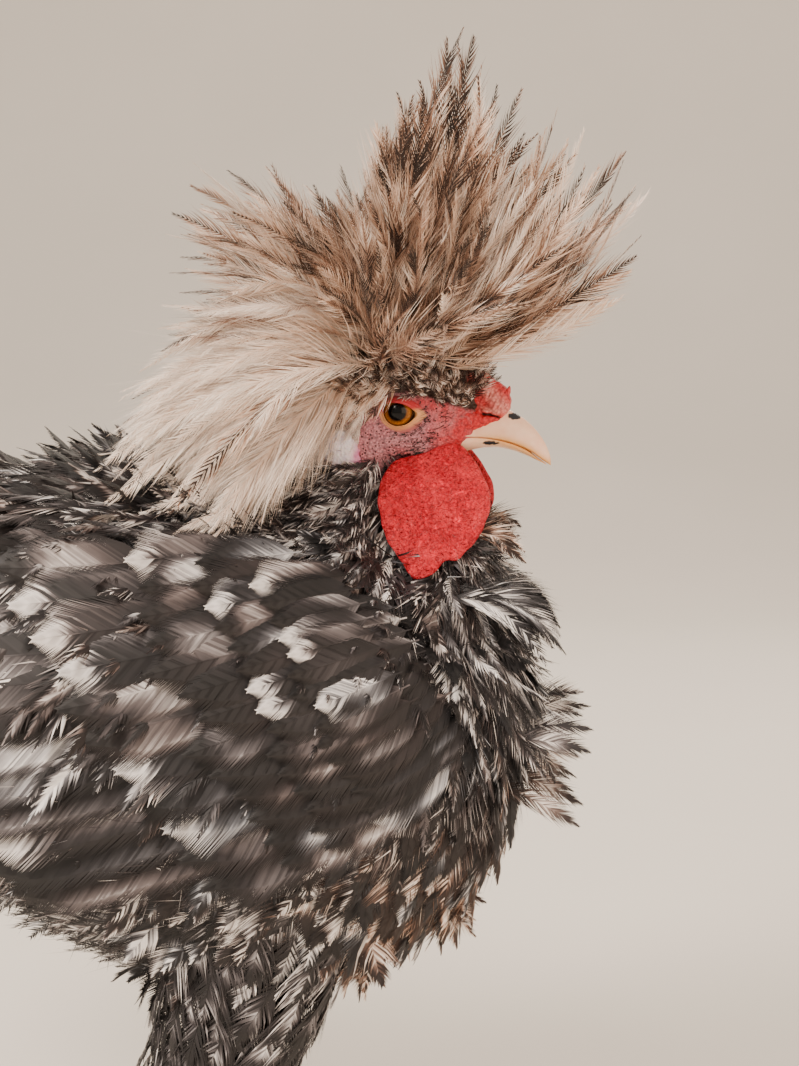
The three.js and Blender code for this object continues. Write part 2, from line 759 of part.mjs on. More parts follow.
function addPiece(name, solid, color, roughness) {
  const material = new THREE.MeshStandardMaterial({ color, roughness, metalness: 0 });
  const mesh = new THREE.Mesh(geometryOf(solid), material);
  mesh.name = name;
  bird.add(mesh);
}

const cut = {
  trunk: trunkCore(GAP),
  head: headCore(GAP).add(lids(GAP)),
  neck: limb(NECK, 20, 5, GAP),
  beak: beak(1, 2, GAP).add(beak(2, 3, GAP)),
  comb: comb(GAP),
  crest: joined(crestFeathers(GAP)),
  crestPad: crestPad(2 * GAP),
  tail: joined([tailStub(GAP), ...tailFeathers(GAP)]),
  wings: joined(SIDES.flatMap(({ sign }) => [wingCore(sign, GAP), ...wingFeathers(sign, GAP)])),
  thighs: joined(SIDES.map(({ sign }) => limb(thighStops(sign), 12, 6, GAP))),
  wattles: joined(SIDES.map(({ sign }) => wattle(sign, GAP))),
  lobes: joined(SIDES.map(({ sign }) => earlobe(sign, GAP))),
};

const saddle = joined(saddleFeathers()).subtract(cut.tail).subtract(cut.wings);
addPiece("torso", largest(trunkCore().add(saddle)), PLUME, 0.8);

const hackle = joined(hackleFeathers()).subtract(cut.wings);
const aroundNeck = [cut.trunk, cut.head, cut.wattles, cut.lobes, cut.crestPad, cut.crest];
addPiece("neck", clearOf(limb(NECK, 20, 5).add(hackle), aroundNeck), PLUME, 0.8);

const crest = joined([crestPad(), ...crestFeathers()]);
const crestNeighbours = [cut.head, cut.beak, cut.comb, cut.neck, cut.trunk, cut.lobes, cut.wings];
addPiece("crest", clearOf(crest, crestNeighbours), CREAM, 0.8);

const tail = joined([tailStub(), ...tailFeathers()]);
addPiece("tail", clearOf(tail, [cut.trunk]), PLUME, 0.7);

addPiece("comb", clearOf(comb().subtract(joined(SIDES.map(({ sign }) => nostril(sign)))), [cut.head, cut.beak]), FLESH, 0.6);
addPiece("beak_upper", clearOf(beak(1, 2), [cut.head]), HORN, 0.4);
addPiece("beak_lower", clearOf(beak(2, 3), [cut.head, beak(1, 2, GAP)]), HORN, 0.4);

const sockets = SIDES.flatMap(({ sign }) => [lidOpening(sign), eyeball(sign, GAP)]);
addPiece("head", clearOf(headCore().add(lids()), sockets), FLESH, 0.7);

for (const { name, sign } of SIDES) {
  addPiece(`eye_${name}`, eyeball(sign), AMBER, 0.1);
  addPiece(`wattle_${name}`, clearOf(wattle(sign), [cut.head, cut.beak, cut.trunk]), FLESH, 0.6);
  addPiece(`earlobe_${name}`, clearOf(earlobe(sign), [cut.head, cut.neck]), "#cfc4cc", 0.7);

  const wing = joined([wingCore(sign), ...wingFeathers(sign)]);
  addPiece(`wing_${name}`, clearOf(wing, [cut.trunk, cut.neck, cut.thighs]), PLUME, 0.7);
  addPiece(`thigh_${name}`, clearOf(limb(thighStops(sign), 12, 6), [cut.trunk]), PLUME, 0.8);

  const foot = joined([shank(sign), ...TOES.map((toe) => toeSolid(sign, toe))]);
  addPiece(`foot_${name}`, clearOf(foot.trimByPlane([0, 0, 1], 0), [cut.thighs]), SLATE, 0.55);
  addPiece(`spur_${name}`, clearOf(spur(sign), [shank(sign, GAP)]), CLAW, 0.4);
  for (const toe of TOES) addPiece(`claw_${toe.name}_${name}`, claw(sign, toe), CLAW, 0.4);
}

// The origin lies on the floor under the middle of the bird's length.
const box = new THREE.Box3().setFromObject(bird);
bird.position.x = -(box.min.x + box.max.x) / 2;

export default bird;
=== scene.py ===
"""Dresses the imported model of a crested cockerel: skin, feathers, face, beak, eyes, legs and a plain studio.

Lengths in this file are millimetres in the bird's own measure: X forward from the hips, Y to its left,
Z up from the floor. `Frame.place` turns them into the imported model's metres.
"""

import json
import logging
import math
from collections.abc import Callable, Sequence
from dataclasses import dataclass, field
from enum import Enum

import bpy
import numpy as np
from mathutils import Matrix, Vector
from mathutils.kdtree import KDTree
from numpy.typing import NDArray

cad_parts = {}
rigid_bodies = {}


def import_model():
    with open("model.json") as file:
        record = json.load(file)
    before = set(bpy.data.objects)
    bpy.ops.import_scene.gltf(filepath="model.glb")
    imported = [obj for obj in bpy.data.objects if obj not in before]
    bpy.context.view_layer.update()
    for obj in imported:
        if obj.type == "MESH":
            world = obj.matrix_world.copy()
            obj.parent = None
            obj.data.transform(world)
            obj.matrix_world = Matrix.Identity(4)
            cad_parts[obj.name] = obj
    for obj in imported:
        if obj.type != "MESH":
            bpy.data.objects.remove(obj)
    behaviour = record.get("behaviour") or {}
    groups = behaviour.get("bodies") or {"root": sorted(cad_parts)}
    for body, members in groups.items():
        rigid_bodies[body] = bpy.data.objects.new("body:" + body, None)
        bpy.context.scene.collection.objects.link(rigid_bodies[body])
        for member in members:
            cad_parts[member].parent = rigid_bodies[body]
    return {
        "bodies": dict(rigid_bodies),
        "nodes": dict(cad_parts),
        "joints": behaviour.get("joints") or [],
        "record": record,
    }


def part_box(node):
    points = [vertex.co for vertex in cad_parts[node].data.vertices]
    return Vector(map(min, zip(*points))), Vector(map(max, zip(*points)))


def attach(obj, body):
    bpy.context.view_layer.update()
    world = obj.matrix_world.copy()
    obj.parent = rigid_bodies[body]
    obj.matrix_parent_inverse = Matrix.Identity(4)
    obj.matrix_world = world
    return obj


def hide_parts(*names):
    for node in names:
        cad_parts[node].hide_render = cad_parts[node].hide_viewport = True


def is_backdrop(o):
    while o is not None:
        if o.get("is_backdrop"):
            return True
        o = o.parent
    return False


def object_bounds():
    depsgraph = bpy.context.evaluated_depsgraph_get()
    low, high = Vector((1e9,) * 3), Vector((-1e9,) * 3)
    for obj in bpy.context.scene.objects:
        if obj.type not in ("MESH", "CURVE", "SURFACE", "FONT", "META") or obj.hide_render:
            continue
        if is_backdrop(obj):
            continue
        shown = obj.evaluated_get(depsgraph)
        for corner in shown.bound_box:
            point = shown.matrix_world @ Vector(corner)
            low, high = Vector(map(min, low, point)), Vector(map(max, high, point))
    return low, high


Floats = NDArray[np.float64]
Ints = NDArray[np.int64]
Draws = np.random.Generator
Socket = bpy.types.NodeSocket

LOG = logging.getLogger("cockerel")
METRES = 0.001
SIDES = {"right": -1.0, "left": 1.0}
BODY = "root"
GOLDEN_TURN = math.pi * (3 - math.sqrt(5))
BAKE_PATCH = 0.003
BARB_OUT, BARB_AHEAD = 0.58, 0.46  # where a barb's bend lies, as shares of its way out and along
SPREAD_ALONG, SPREAD_ROUND = 0.7548776662, 0.5698402910  # steps that spread places evenly over a sheet


class Mark(Enum):
    """The per-point values that the finishes read, by their names on the meshes."""

    LIGHT = "light"
    WARM = "warm"
    BARE = "bare"
    BLUSH = "blush"
    SPECK = "speck"
    NOSTRIL_SHADE = "dark"
    # near-black painted shade in the nostril slits
    RING = "ring"
    RIM = "rim"
    UPPER = "upper"
    EDGE = "edge"
    SPOT = "mark"
    PLATE = "plate"


# Small tools for arrays


def unit(vectors: Floats) -> Floats:
    """Vectors scaled to length one."""
    length = np.linalg.norm(vectors, axis=-1, keepdims=True)
    return vectors / np.maximum(length, 1e-9)


def smooth(table: Sequence[Sequence[float]] | Sequence[float] | Floats, at: Floats) -> Floats:
    """Reads a short table as a smooth curve (Catmull-Rom between neighbouring rows).

    Args:
        table: rows of one or more values, evenly spaced from 0 to 1.
        at: places between 0 and 1.

    Returns:
        One row for each place.
    """
    rows = np.asarray(table, float)
    single = rows.ndim == 1
    rows = rows[:, None] if single else rows
    last = len(rows) - 1
    spot = np.clip(at, 0, 1) * last
    low = np.minimum(spot.astype(int), last - 1)
    f = (spot - low)[..., None]
    a, b = rows[low], rows[low + 1]
    slope_a = (b - rows[np.maximum(low - 1, 0)]) / 2
    slope_b = (rows[np.minimum(low + 2, last)] - a) / 2
    ease = f * f * (3 - 2 * f)
    out = a * (1 - ease) + b * ease + f * (1 - f) * ((1 - f) * slope_a - f * slope_b)
    return out[..., 0] if single else out


def step_between(low: float, high: float, value: Floats) -> Floats:
    """A smooth step from 0 at `low` to 1 at `high`."""
    s = np.clip((value - low) / (high - low), 0, 1)
    return s * s * (3 - 2 * s)


def xyz(x: Floats | float, y: Floats | float, z: Floats | float) -> Floats:
    """Points or vectors from their X, Y and Z, each an array or one number for all."""
    return np.stack(np.broadcast_arrays(x, y, z), -1)


def strewn(vectors: Floats, amount: float, rng: Draws) -> Floats:
    """Unit vectors turned at random by about this amount."""
    return unit(vectors + amount * rng.standard_normal(vectors.shape))


def bell(value: Floats, middle: float | Floats, width: float) -> Floats:
    """A bell curve: 1 at the middle, falling as exp(-d^2) with d the distance over the width."""
    return np.exp(-(((value - middle) / width) ** 2))


def circle(count: int) -> Floats:
    """Angles evenly round a circle, the first one 0."""
    return np.linspace(0, 2 * math.pi, count, endpoint=False)


def shares(count: int) -> Floats:
    """Shares from 0 to 1 along a path, shaped to spread over paths and over X, Y, Z."""
    return np.linspace(0, 1, count)[None, :, None]


def alternate(count: int) -> Floats:
    """1 and -1 by turns: the left and the right side."""
    return np.where(np.arange(count) % 2 == 0, 1.0, -1.0)


def straight(roots: Floats, aims: Floats, lengths: Floats, count: int) -> Floats:
    """Straight paths of `count` points from each root along its aim."""
    return roots[:, None] + aims[:, None] * (lengths[:, None, None] * shares(count))


def arched(roots: Floats, knees: Floats, tips: Floats, count: int) -> Floats:
    """Paths that bend from root to tip towards a knee: quadratic Bezier curves."""
    s = shares(count)
    return roots[:, None] * (1 - s) ** 2 + 2 * knees[:, None] * s * (1 - s) + tips[:, None] * s**2


def waves(points: Floats, size: float, seed: float) -> Floats:
    """Soft seeded noise from -1 to 1: a few sine waves across each other at odd angles."""
    total = np.zeros(points.shape[:-1])
    for k in range(5):
        turn = seed * 1.7 + k * 2.4
        axis = np.array([math.sin(turn), math.cos(turn * 1.3), math.sin(turn * 0.7 + 1.1)])
        total += np.sin(points @ axis * (2 * math.pi / size) * (0.7 + 0.23 * k) + turn * 5)
    return total / 3.2


def grid_faces(rows: int, columns: int, wrap: bool = True) -> Ints:
    """Quads over a grid of points, row by row."""
    across = columns if wrap else columns - 1
    i, j = np.meshgrid(np.arange(rows - 1), np.arange(across), indexing="ij")
    after = (j + 1) % columns
    quads = [i * columns + j, i * columns + after, (i + 1) * columns + after, (i + 1) * columns + j]
    return np.stack(quads, -1).reshape(-1, 4)


@dataclass
class Shell:
    """A mesh as arrays: points, faces of three or four corners, marks and places for the baked map."""

    points: Floats
    faces: list[Ints]
    marks: dict[Mark, Floats] = field(default_factory=dict)
    uv: Floats | None = None

    @staticmethod
    def of_grid(grid: Floats, wrap: bool = True, caps: bool = True) -> "Shell":
        """A closed skin over a grid of points.

        Args:
            grid: points of shape rows, columns, 3.
            wrap: whether each row closes on itself.
            caps: whether the first and last rows are closed by a fan.

        Returns:
            The shell.
        """
        rows, columns = grid.shape[:2]
        points = grid.reshape(-1, 3)
        faces = [grid_faces(rows, columns, wrap)]
        if caps:
            ends = np.array([grid[0].mean(0), grid[-1].mean(0)])
            j = np.arange(columns)
            after = (j + 1) % columns
            first = np.full(columns, len(points))
            low = (rows - 1) * columns
            faces.append(np.stack([first, after, j], -1))
            faces.append(np.stack([first + 1, low + j, low + after], -1))
            points = np.concatenate([points, ends])
        return Shell(points, faces)

    def flipped(self) -> "Shell":
        """The same shell with its faces turned over."""
        self.faces = [face[:, ::-1] for face in self.faces]
        return self

    def mark_grid(self, marks: dict[Mark, Floats]) -> "Shell":
        """Marks a capped grid: the middles of its caps take the first and the last point's values."""
        self.marks = {k: np.concatenate([m.ravel(), m.reshape(-1)[[0, -1]]]) for k, m in marks.items()}
        return self

    @staticmethod
    def joined(shells: Sequence["Shell"]) -> "Shell":
        """Several shells as one."""
        start = np.cumsum([0] + [len(s.points) for s in shells])
        faces = [f + start[k] for k, s in enumerate(shells) for f in s.faces]
        names = shells[0].marks.keys()
        marks = {name: np.concatenate([s.marks[name] for s in shells]) for name in names}
        uv = None if shells[0].uv is None else np.concatenate([s.uv for s in shells])
        return Shell(np.concatenate([s.points for s in shells]), faces, marks, uv)


class Frame:
    """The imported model: where the bird's own measure lies in it, and its boxes."""

    def __init__(self) -> None:
        """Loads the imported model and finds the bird's own origin from its eye."""
        self.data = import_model()
        self.cad_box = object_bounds()
        low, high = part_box("eye_right")
        middle = (Vector(low) + Vector(high)) / 2 / METRES
        self.shift = np.array([middle.x - EYE_X, 0.0, middle.z - EYE_Z])

    def place(self, points: Floats) -> Floats:
        """Points in the bird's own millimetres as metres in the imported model's frame."""
        return (points + self.shift) * METRES

    def piece(
        self,
        name: str,
        shell: Shell,
        material: bpy.types.Material,
        slot: str,
        nodes: Sequence[str] = (),
        flat: bool = False,
    ) -> bpy.types.Object:
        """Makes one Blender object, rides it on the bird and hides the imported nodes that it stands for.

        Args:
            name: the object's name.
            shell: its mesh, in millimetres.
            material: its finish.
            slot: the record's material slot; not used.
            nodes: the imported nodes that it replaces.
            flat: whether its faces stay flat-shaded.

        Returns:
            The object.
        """
        mesh = bpy.data.meshes.new(name)
        corners = np.concatenate([f.ravel() for f in shell.faces])
        sides = np.concatenate([np.full(len(f), f.shape[1]) for f in shell.faces])
        starts = np.concatenate([[0], np.cumsum(sides)[:-1]])
        mesh.vertices.add(len(shell.points))
        mesh.vertices.foreach_set("co", self.place(shell.points).astype(np.float32).ravel())
        mesh.loops.add(len(corners))
        mesh.loops.foreach_set("vertex_index", corners.astype(np.int32))
        mesh.polygons.add(len(sides))
        mesh.polygons.foreach_set("loop_start", starts.astype(np.int32))
        mesh.polygons.foreach_set("use_smooth", np.full(len(sides), not flat))
        for key, values in shell.marks.items():
            layer = mesh.attributes.new(key.value, "FLOAT", "POINT")
            layer.data.foreach_set("value", values.astype(np.float32))
        if shell.uv is not None:
            layer = mesh.uv_layers.new(name="OFBake")
            layer.data.foreach_set("uv", shell.uv[corners].astype(np.float32).ravel())
        mesh.update(calc_edges=True)
        mesh.materials.append(material)
        made = bpy.data.objects.new(name, mesh)
        bpy.context.scene.collection.objects.link(made)
        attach(made, BODY)
        if nodes:
            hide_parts(*nodes)
        LOG.info("%s: %d faces", name, len(sides))
        return made


# The bird's measures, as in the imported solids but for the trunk, whose front end lies 16 mm further back

EYE_X, EYE_Y, EYE_Z, EYE_RADIUS = 60.0, 10.8, 350.0, 5.4
TRUNK_X, TRUNK_LENGTH = -25.0, 127.0
TRUNK_ROUND = 2.3
KNOB = np.array([EYE_X - 3, 0.0, EYE_Z + 13])


def by_eye(x: Floats, y: Floats, z: Floats) -> Floats:
    """Points from places forward and up from the eye and sideways from the bird's middle."""
    return xyz(EYE_X + x, y, EYE_Z + z)


def wattle_plane(x: Floats, z: Floats) -> Floats:
    """How far out a wattle's middle sheet hangs, for places forward and up from the eye."""
    return 8.6 + 0.42 * (-11.5 - z) + 0.022 * np.clip(8 - x, 0, None) ** 2


def tuck(points: Floats, gap: float) -> Floats:
    """Points drawn inwards where they would lie over a wattle, until they lie a gap behind it."""
    x, z = points[..., 0] - EYE_X, points[..., 2] - EYE_Z
    away = np.hypot(x - 12, z + 32)
    most = wattle_plane(x, z) - gap
    over = np.clip(np.abs(points[..., 1]) - most, 0, None) * step_between(-26, -20.5, -away)
    tucked = points.copy()
    tucked[..., 1] -= np.sign(points[..., 1]) * over
    return tucked


class Form:
    """The bird's outer form without its long feathers: the trunk and the neck."""

    neck = np.array([[333, 45, 17, 20], [319, 43, 25, 31], [302, 38, 39, 49], [262, 30, 58, 68]], float)

    def trunk_middle(self, x: Floats) -> Floats:
        """The height of the trunk's axis at x."""
        rear = np.clip(-(x - TRUNK_X) / TRUNK_LENGTH, 0, 1)
        return 238 + 12 * step_between(-45, 55, -x) + 18 * rear**1.3

    def trunk_sizes(self, x: Floats) -> tuple[Floats, Floats]:
        """The trunk's half-width and half-height at x, before its ends round off."""
        rear = np.clip(-(x - TRUNK_X) / TRUNK_LENGTH, 0, 1)
        return 76 - 12 * rear, 83 - 26 * rear

    def trunk_level(self, p: Floats) -> Floats:
        """A level that is 1 on the trunk: |u|^r + ratio^r = 1, with u along it and the ratio across it."""
        u = np.abs((p[..., 0] - TRUNK_X) / TRUNK_LENGTH)
        wide, high = self.trunk_sizes(p[..., 0])
        ratio = np.hypot(p[..., 1] / wide, (p[..., 2] - self.trunk_middle(p[..., 0])) / high)
        return (u**TRUNK_ROUND + ratio**TRUNK_ROUND) ** (1 / TRUNK_ROUND)

    def neck_level(self, p: Floats) -> Floats:
        """A level that is 1 on the neck, level by level, and grows above its top."""
        z = p[..., 2]
        rows = self.neck[::-1]
        x, wide, deep = (np.interp(z, rows[:, 0], rows[:, k]) for k in (1, 2, 3))
        over = np.clip(z - rows[-1, 0], 0, None) / 14
        under = np.clip(rows[0, 0] - z, 0, None) / 30
        return np.sqrt(((p[..., 0] - x) / deep) ** 2 + (p[..., 1] / wide) ** 2 + over**2 + under**2)

    def heights(self, p: Floats) -> tuple[Floats, Floats]:
        """How far points lie above the form, and which way is out.

        Each level's height is (level - 1) over the level's slope, found by small differences; the
        lower of the two forms' heights counts.

        Args:
            p: points, last axis X, Y, Z.

        Returns:
            The heights, and the outward unit vectors.
        """
        best: Floats | None = None
        out = np.zeros_like(p)
        for level in (self.trunk_level, self.neck_level):
            here = level(p)
            slope = np.stack([(level(p + d) - here) / 0.5 for d in np.eye(3) * 0.5], -1)
            steep = np.maximum(np.linalg.norm(slope, axis=-1), 1e-6)
            height = (here - 1) / steep
            nearer = np.ones(height.shape, bool) if best is None else height < best
            best = height if best is None else np.where(nearer, height, best)
            out = np.where(nearer[..., None], slope / steep[..., None], out)
        return best, out

    def lift(self, p: Floats, height: Floats | float) -> Floats:
        """Points moved straight out until they are at least `height` above the form."""
        for _ in range(2):
            now, out = self.heights(p)
            p = p + out * np.clip(height - now, 0, None)[..., None]
        return p

    def drape(self, roots: Floats, aims: Floats, lengths: Floats, rise: Floats, steps: int = 9) -> Floats:
        """Paths that lie over the form and lift off it towards their tips.

        Each step goes along the aim, turned level with the form, and is then lifted to its height
        in `rise`. A step is never longer than its share of the length by more than a third.

        Args:
            roots: where the paths start, N by 3.
            aims: the way they run, N by 3.
            lengths: their lengths, N.
            rise: height above the form along each path, N by K.
            steps: how many steps each path has.

        Returns:
            Points, N by steps + 1 by 3.
        """
        p = roots
        path = []
        for k in range(steps + 1):
            at = np.full(1, k / steps)
            want = smooth(rise.T, at)[0]
            placed = self.lift(p, want) if k else p
            if k > 1:
                move = placed - path[-1]
                far = np.linalg.norm(move, axis=-1, keepdims=True)
                most = 1.3 * lengths[:, None] / steps
                placed = path[-1] + move * np.minimum(1, most / np.maximum(far, 1e-6))
            path.append(placed)
            _, out = self.heights(placed)
            level = aims - out * np.sum(aims * out, -1, keepdims=True) * min(1.0, 1.15 - k / steps)
            p = placed + unit(level) * (lengths / steps)[:, None]
        return np.stack(path, 1)

    def trunk_points(self, x: Floats, turn: Floats) -> Floats:
        """Points on the trunk at x and at an angle round it, 0 at the back and pi at the belly."""
        wide, high = self.trunk_sizes(x)
        u = np.clip(np.abs((x - TRUNK_X) / TRUNK_LENGTH), 0, 0.999)
        end = (1 - u**TRUNK_ROUND) ** (1 / TRUNK_ROUND)
        return xyz(x, wide * end * np.sin(turn), self.trunk_middle(x) + high * end * np.cos(turn))

    def neck_points(self, z: Floats, turn: Floats) -> Floats:
        """Points on the neck at height z and at an angle round it, 0 in front."""
        rows = self.neck[::-1]
        x, wide, deep = (np.interp(z, rows[:, 0], rows[:, k]) for k in (1, 2, 3))
        return xyz(x + deep * np.cos(turn), wide * np.sin(turn), z)


# Feathers


@dataclass(frozen=True)
class Vane:
    """How one kind of feather is built from a shaft and two rows of barbs."""

    barbs: int  # on each side
    outline: tuple[float, ...]  # half-width along the shaft, as a share of the widest
    lean: float = 34.0  # degrees between shaft and barb
    cover: float = 1.25  # a barb's width over the space between barbs
    fray: float = 0.12  # how much barbs differ in length and angle
    droop: float = 0.25  # how far the edges hang under the shaft, as a share of the half-width
    shaft: float = 0.5  # the shaft's width at the root
    start: float = 0.08  # where the first barb stands
    clump: float = 0.0  # how far neighbouring barbs bunch together, as a share of the lean


POINTED = (0.2, 0.55, 0.85, 1.0, 0.95, 0.65, 0.06)
ROUNDED = (0.25, 0.65, 0.88, 1.0, 1.0, 0.9, 0.08)
BROAD = (0.2, 0.7, 0.95, 1.0, 1.0, 0.97, 0.1)


@dataclass
class Plumes:
    """A batch of feathers of one kind: their paths, the way they face and their widths."""

    paths: Floats
    faces: Floats
    widths: Floats
    light: Floats
    warm: Floats

    def take(self, keep: NDArray[np.bool_]) -> "Plumes":
        """Only the feathers that `keep` marks."""
        return Plumes(
            self.paths[keep], self.faces[keep], self.widths[keep], self.light[keep], self.warm[keep]
        )


Pattern = Callable[[Floats, Floats, Floats, Floats, Floats], tuple[Floats, Floats]]


def read_paths(paths: Floats, at: Floats) -> Floats:
    """Points along each path at shares of its length, straight between its own points."""
    spot = np.clip(at, 0, 1) * (paths.shape[1] - 1)
    low = np.minimum(spot.astype(int), paths.shape[1] - 2)
    f = (spot - low)[None, :, None]
    return paths[:, low] * (1 - f) + paths[:, low + 1] * f


def feathers(plumes: Plumes, vane: Vane, pattern: Pattern, rng: Draws) -> Shell:
    """Builds every feather of a batch.

    Each barb leaves the shaft at the lean angle and ends on the outline: its reach is found by
    reading the outline where the barb ends, a few times over. It is a narrow ribbon of five points:
    two at the shaft, two half way and one at its tip. The shaft is a flat ribbon that thins towards
    its tip.

    Args:
        plumes: the batch.
        vane: how this kind is built.
        pattern: gives light and warmth from place along, place across, barb draw and the feather's own.
        rng: the seeded draws.

    Returns:
        One shell for the batch.
    """
    count = len(plumes.paths)
    at = vane.start + (0.985 - vane.start) * np.linspace(0, 1, vane.barbs) ** 0.92
    here = read_paths(plumes.paths, at)
    along = unit(read_paths(plumes.paths, at + 0.02) - read_paths(plumes.paths, at - 0.02))
    across = unit(np.cross(along, plumes.faces[:, None, :]))
    over = np.cross(across, along)
    length = np.linalg.norm(np.diff(plumes.paths, axis=1), axis=-1).sum(1)
    spacing = (length * (1 - vane.start) / vane.barbs)[:, None, None, None]
    widest = 0.5 * np.minimum(plumes.widths, 0.7 * length)[:, None, None]

    shape = (count, 2, vane.barbs)
    side = np.array([-1.0, 1.0])[None, :, None]
    lean = np.radians(vane.lean) * (1 + 0.5 * vane.fray * (2 * rng.random(shape) - 1))
    place = np.arange(vane.barbs)[None, None, :]
    beat = 0.55 + 0.5 * rng.random((count, 2, 1))
    lean = lean * (1 + vane.clump * np.sin(place * beat + 6.3 * rng.random((count, 2, 1))))
    per_reach = 1 / (np.tan(lean) * length[:, None, None])
    reach = widest * smooth(vane.outline, at)
    for _ in range(6):
        ends = np.clip(at + reach * per_reach, 0, 1)
        reach = 0.5 * (reach + widest * smooth(vane.outline, ends))
    reach = reach * (1 + vane.fray * (2 * rng.random(shape) - 1))
    out = across[:, None] * side[..., None]
    ahead = along[:, None]
    under = over[:, None]
    go = reach[..., None] * out
    run = reach * per_reach
    forward = (run * length[:, None, None])[..., None] * ahead
    drop = (vane.droop * reach)[..., None] * under
    root = here[:, None] + np.zeros_like(go)
    middle = root + BARB_OUT * go + BARB_AHEAD * forward - 0.2 * drop
    tip = root + go + forward - drop
    thick = 0.5 * vane.cover * spacing * ahead
    ribbon = np.stack(
        [root - thick, root + thick, middle - thick * 0.95, middle + thick * 0.95, tip + thick * 0.2], 3
    )

    stations = plumes.paths.shape[1]
    path_along = unit(np.gradient(plumes.paths, axis=1))
    path_across = unit(np.cross(path_along, plumes.faces[:, None, :]))
    path_over = np.cross(path_across, path_along)
    thin = vane.shaft * 0.5 * np.linspace(1, 0.15, stations)[None, :, None]
    spine = plumes.paths + path_over * 0.12
    shaft = np.stack([spine - path_across * thin, spine + path_across * thin], 2)

    points = np.concatenate([ribbon.reshape(count, -1, 3), shaft.reshape(count, -1, 3)], 1)
    each = points.shape[1]
    barb = np.array([[0, 1, 3], [0, 3, 2], [2, 3, 4]])
    barb_faces = (barb[None] + 5 * np.arange(2 * vane.barbs)[:, None, None]).reshape(-1, 3)
    first = 10 * vane.barbs + 2 * np.arange(stations - 1)[:, None, None]
    shaft_faces = (np.array([[0, 1, 3], [0, 3, 2]])[None] + first).reshape(-1, 3)
    one = np.concatenate([barb_faces, shaft_faces])
    faces = (one[None] + each * np.arange(count)[:, None, None]).reshape(-1, 3)

    draw = rng.random(shape)[..., None] + np.zeros(5)
    t = np.clip(at[:, None] + run[..., None] * np.array([0, 0, BARB_AHEAD, BARB_AHEAD, 1.0]), 0, 1)
    half_there = widest[..., None] * np.maximum(smooth(vane.outline, t), 0.12)
    outwards = np.array([0.05, 0.05, BARB_OUT, BARB_OUT, 1.0])
    u = np.clip(reach[..., None] * outwards / half_there, 0, 1) * side[..., None]
    on_shaft = np.repeat(np.linspace(0, 1, stations), 2)[None] + np.zeros((count, 1))
    t_all = np.concatenate([t.reshape(count, -1), on_shaft], 1)
    u_all = np.concatenate([u.reshape(count, -1), np.zeros((count, 2 * stations))], 1)
    draw_all = np.concatenate([draw.reshape(count, -1), np.full((count, 2 * stations), 0.5)], 1)
    seed = rng.random(count)[:, None] + np.zeros_like(t_all)
    light, warm = pattern(t_all, u_all, draw_all, seed, plumes.light[:, None] + np.zeros_like(t_all))
    warm = warm * plumes.warm[:, None]

    roots = plumes.paths[:, 0]
    uv = SKIN_MAP.of(roots)[:, None] + BAKE_PATCH * (np.stack([t_all, 0.5 + 0.5 * u_all], -1) - 0.5)
    marks = {Mark.LIGHT: np.clip(light, 0, 1).ravel(), Mark.WARM: np.clip(warm, 0, 1).ravel()}
    return Shell(points.reshape(-1, 3), [faces], marks, uv.reshape(-1, 2))


class SkinMap:
    """The unwrap of the skin: along its path and round it, read at the point nearest to a root."""

    def __init__(self) -> None:
        """Starts empty, until the skin is made."""
        self.tree: KDTree | None = None
        self.places = np.zeros((0, 2))

    def learn(self, points: Floats, places: Floats) -> None:
        """Keeps the skin's points and their places on the unwrap."""
        self.tree = KDTree(len(points))
        for k, p in enumerate(points):
            self.tree.insert(p, k)
        self.tree.balance()
        self.places = places

    def of(self, roots: Floats) -> Floats:
        """The place on the unwrap of the skin's point nearest to each root."""
        return self.places[[self.tree.find(p)[1] for p in roots]]


SKIN_MAP = SkinMap()


# Patterns: light runs from black to white, warmth from grey to buff


def mottled(t: Floats, u: Floats, draw: Floats, seed: Floats, base: Floats) -> tuple[Floats, Floats]:
    """Near-black with silver blotches that run along the barbs, and a dark or a pale margin."""
    a = np.abs(u)
    phase = seed * 37
    kind = np.sin(seed * 91)
    blotch = np.sin(phase + 4.6 * t + 1.3 * u) * np.sin(phase * 1.7 + 2.2 * u - 2.6 * t)
    pale = step_between(-0.15, 0.5, blotch + 0.7 * (draw - 0.5))
    inside = 1 - step_between(0.45, 0.8, np.maximum(a, t * 0.9))
    centre = step_between(0.35, 0.6, t + 0.25 * (draw - 0.5)) * inside
    pale = np.where(kind > 0.15, centre, pale)
    silver = np.clip(0.28 + 1.1 * base, 0, 0.95) * (0.72 + 0.56 * draw)
    light = base * 0.28 + (silver - base * 0.28) * pale
    pale_rim = (kind < -0.45) * step_between(0.7, 1.0, a)
    return light + 0.3 * pale_rim + 0.08 * (draw - 0.5), np.full_like(t, 1.0)


def laced(t: Floats, u: Floats, draw: Floats, seed: Floats, base: Floats) -> tuple[Floats, Floats]:
    """Wing feathers: a silver-grey middle in a near-black rim, or black with a white tip."""
    a = np.abs(u)
    kind = np.sin(seed * 91)
    rim = step_between(0.66, 0.86, np.maximum(a, t * 0.97) + 0.1 * (draw - 0.5))
    cloud = 0.5 + 0.5 * np.sin(seed * 40 + 3.5 * t + 1.4 * u) * np.sin(seed * 23 + 2.4 * u - 3.0 * t)
    middle = (0.06 + 1.3 * base) * (0.18 + 0.82 * step_between(0.2, 0.75, cloud)) * (0.8 + 0.4 * draw)
    light = middle * (1 - rim) + 0.05 * rim
    white_tip = (kind > 0.82) * step_between(0.72, 0.82, t + 0.12 * (draw - 0.5))
    return light * (1 - white_tip) + 0.9 * white_tip, np.full_like(t, 1.0)


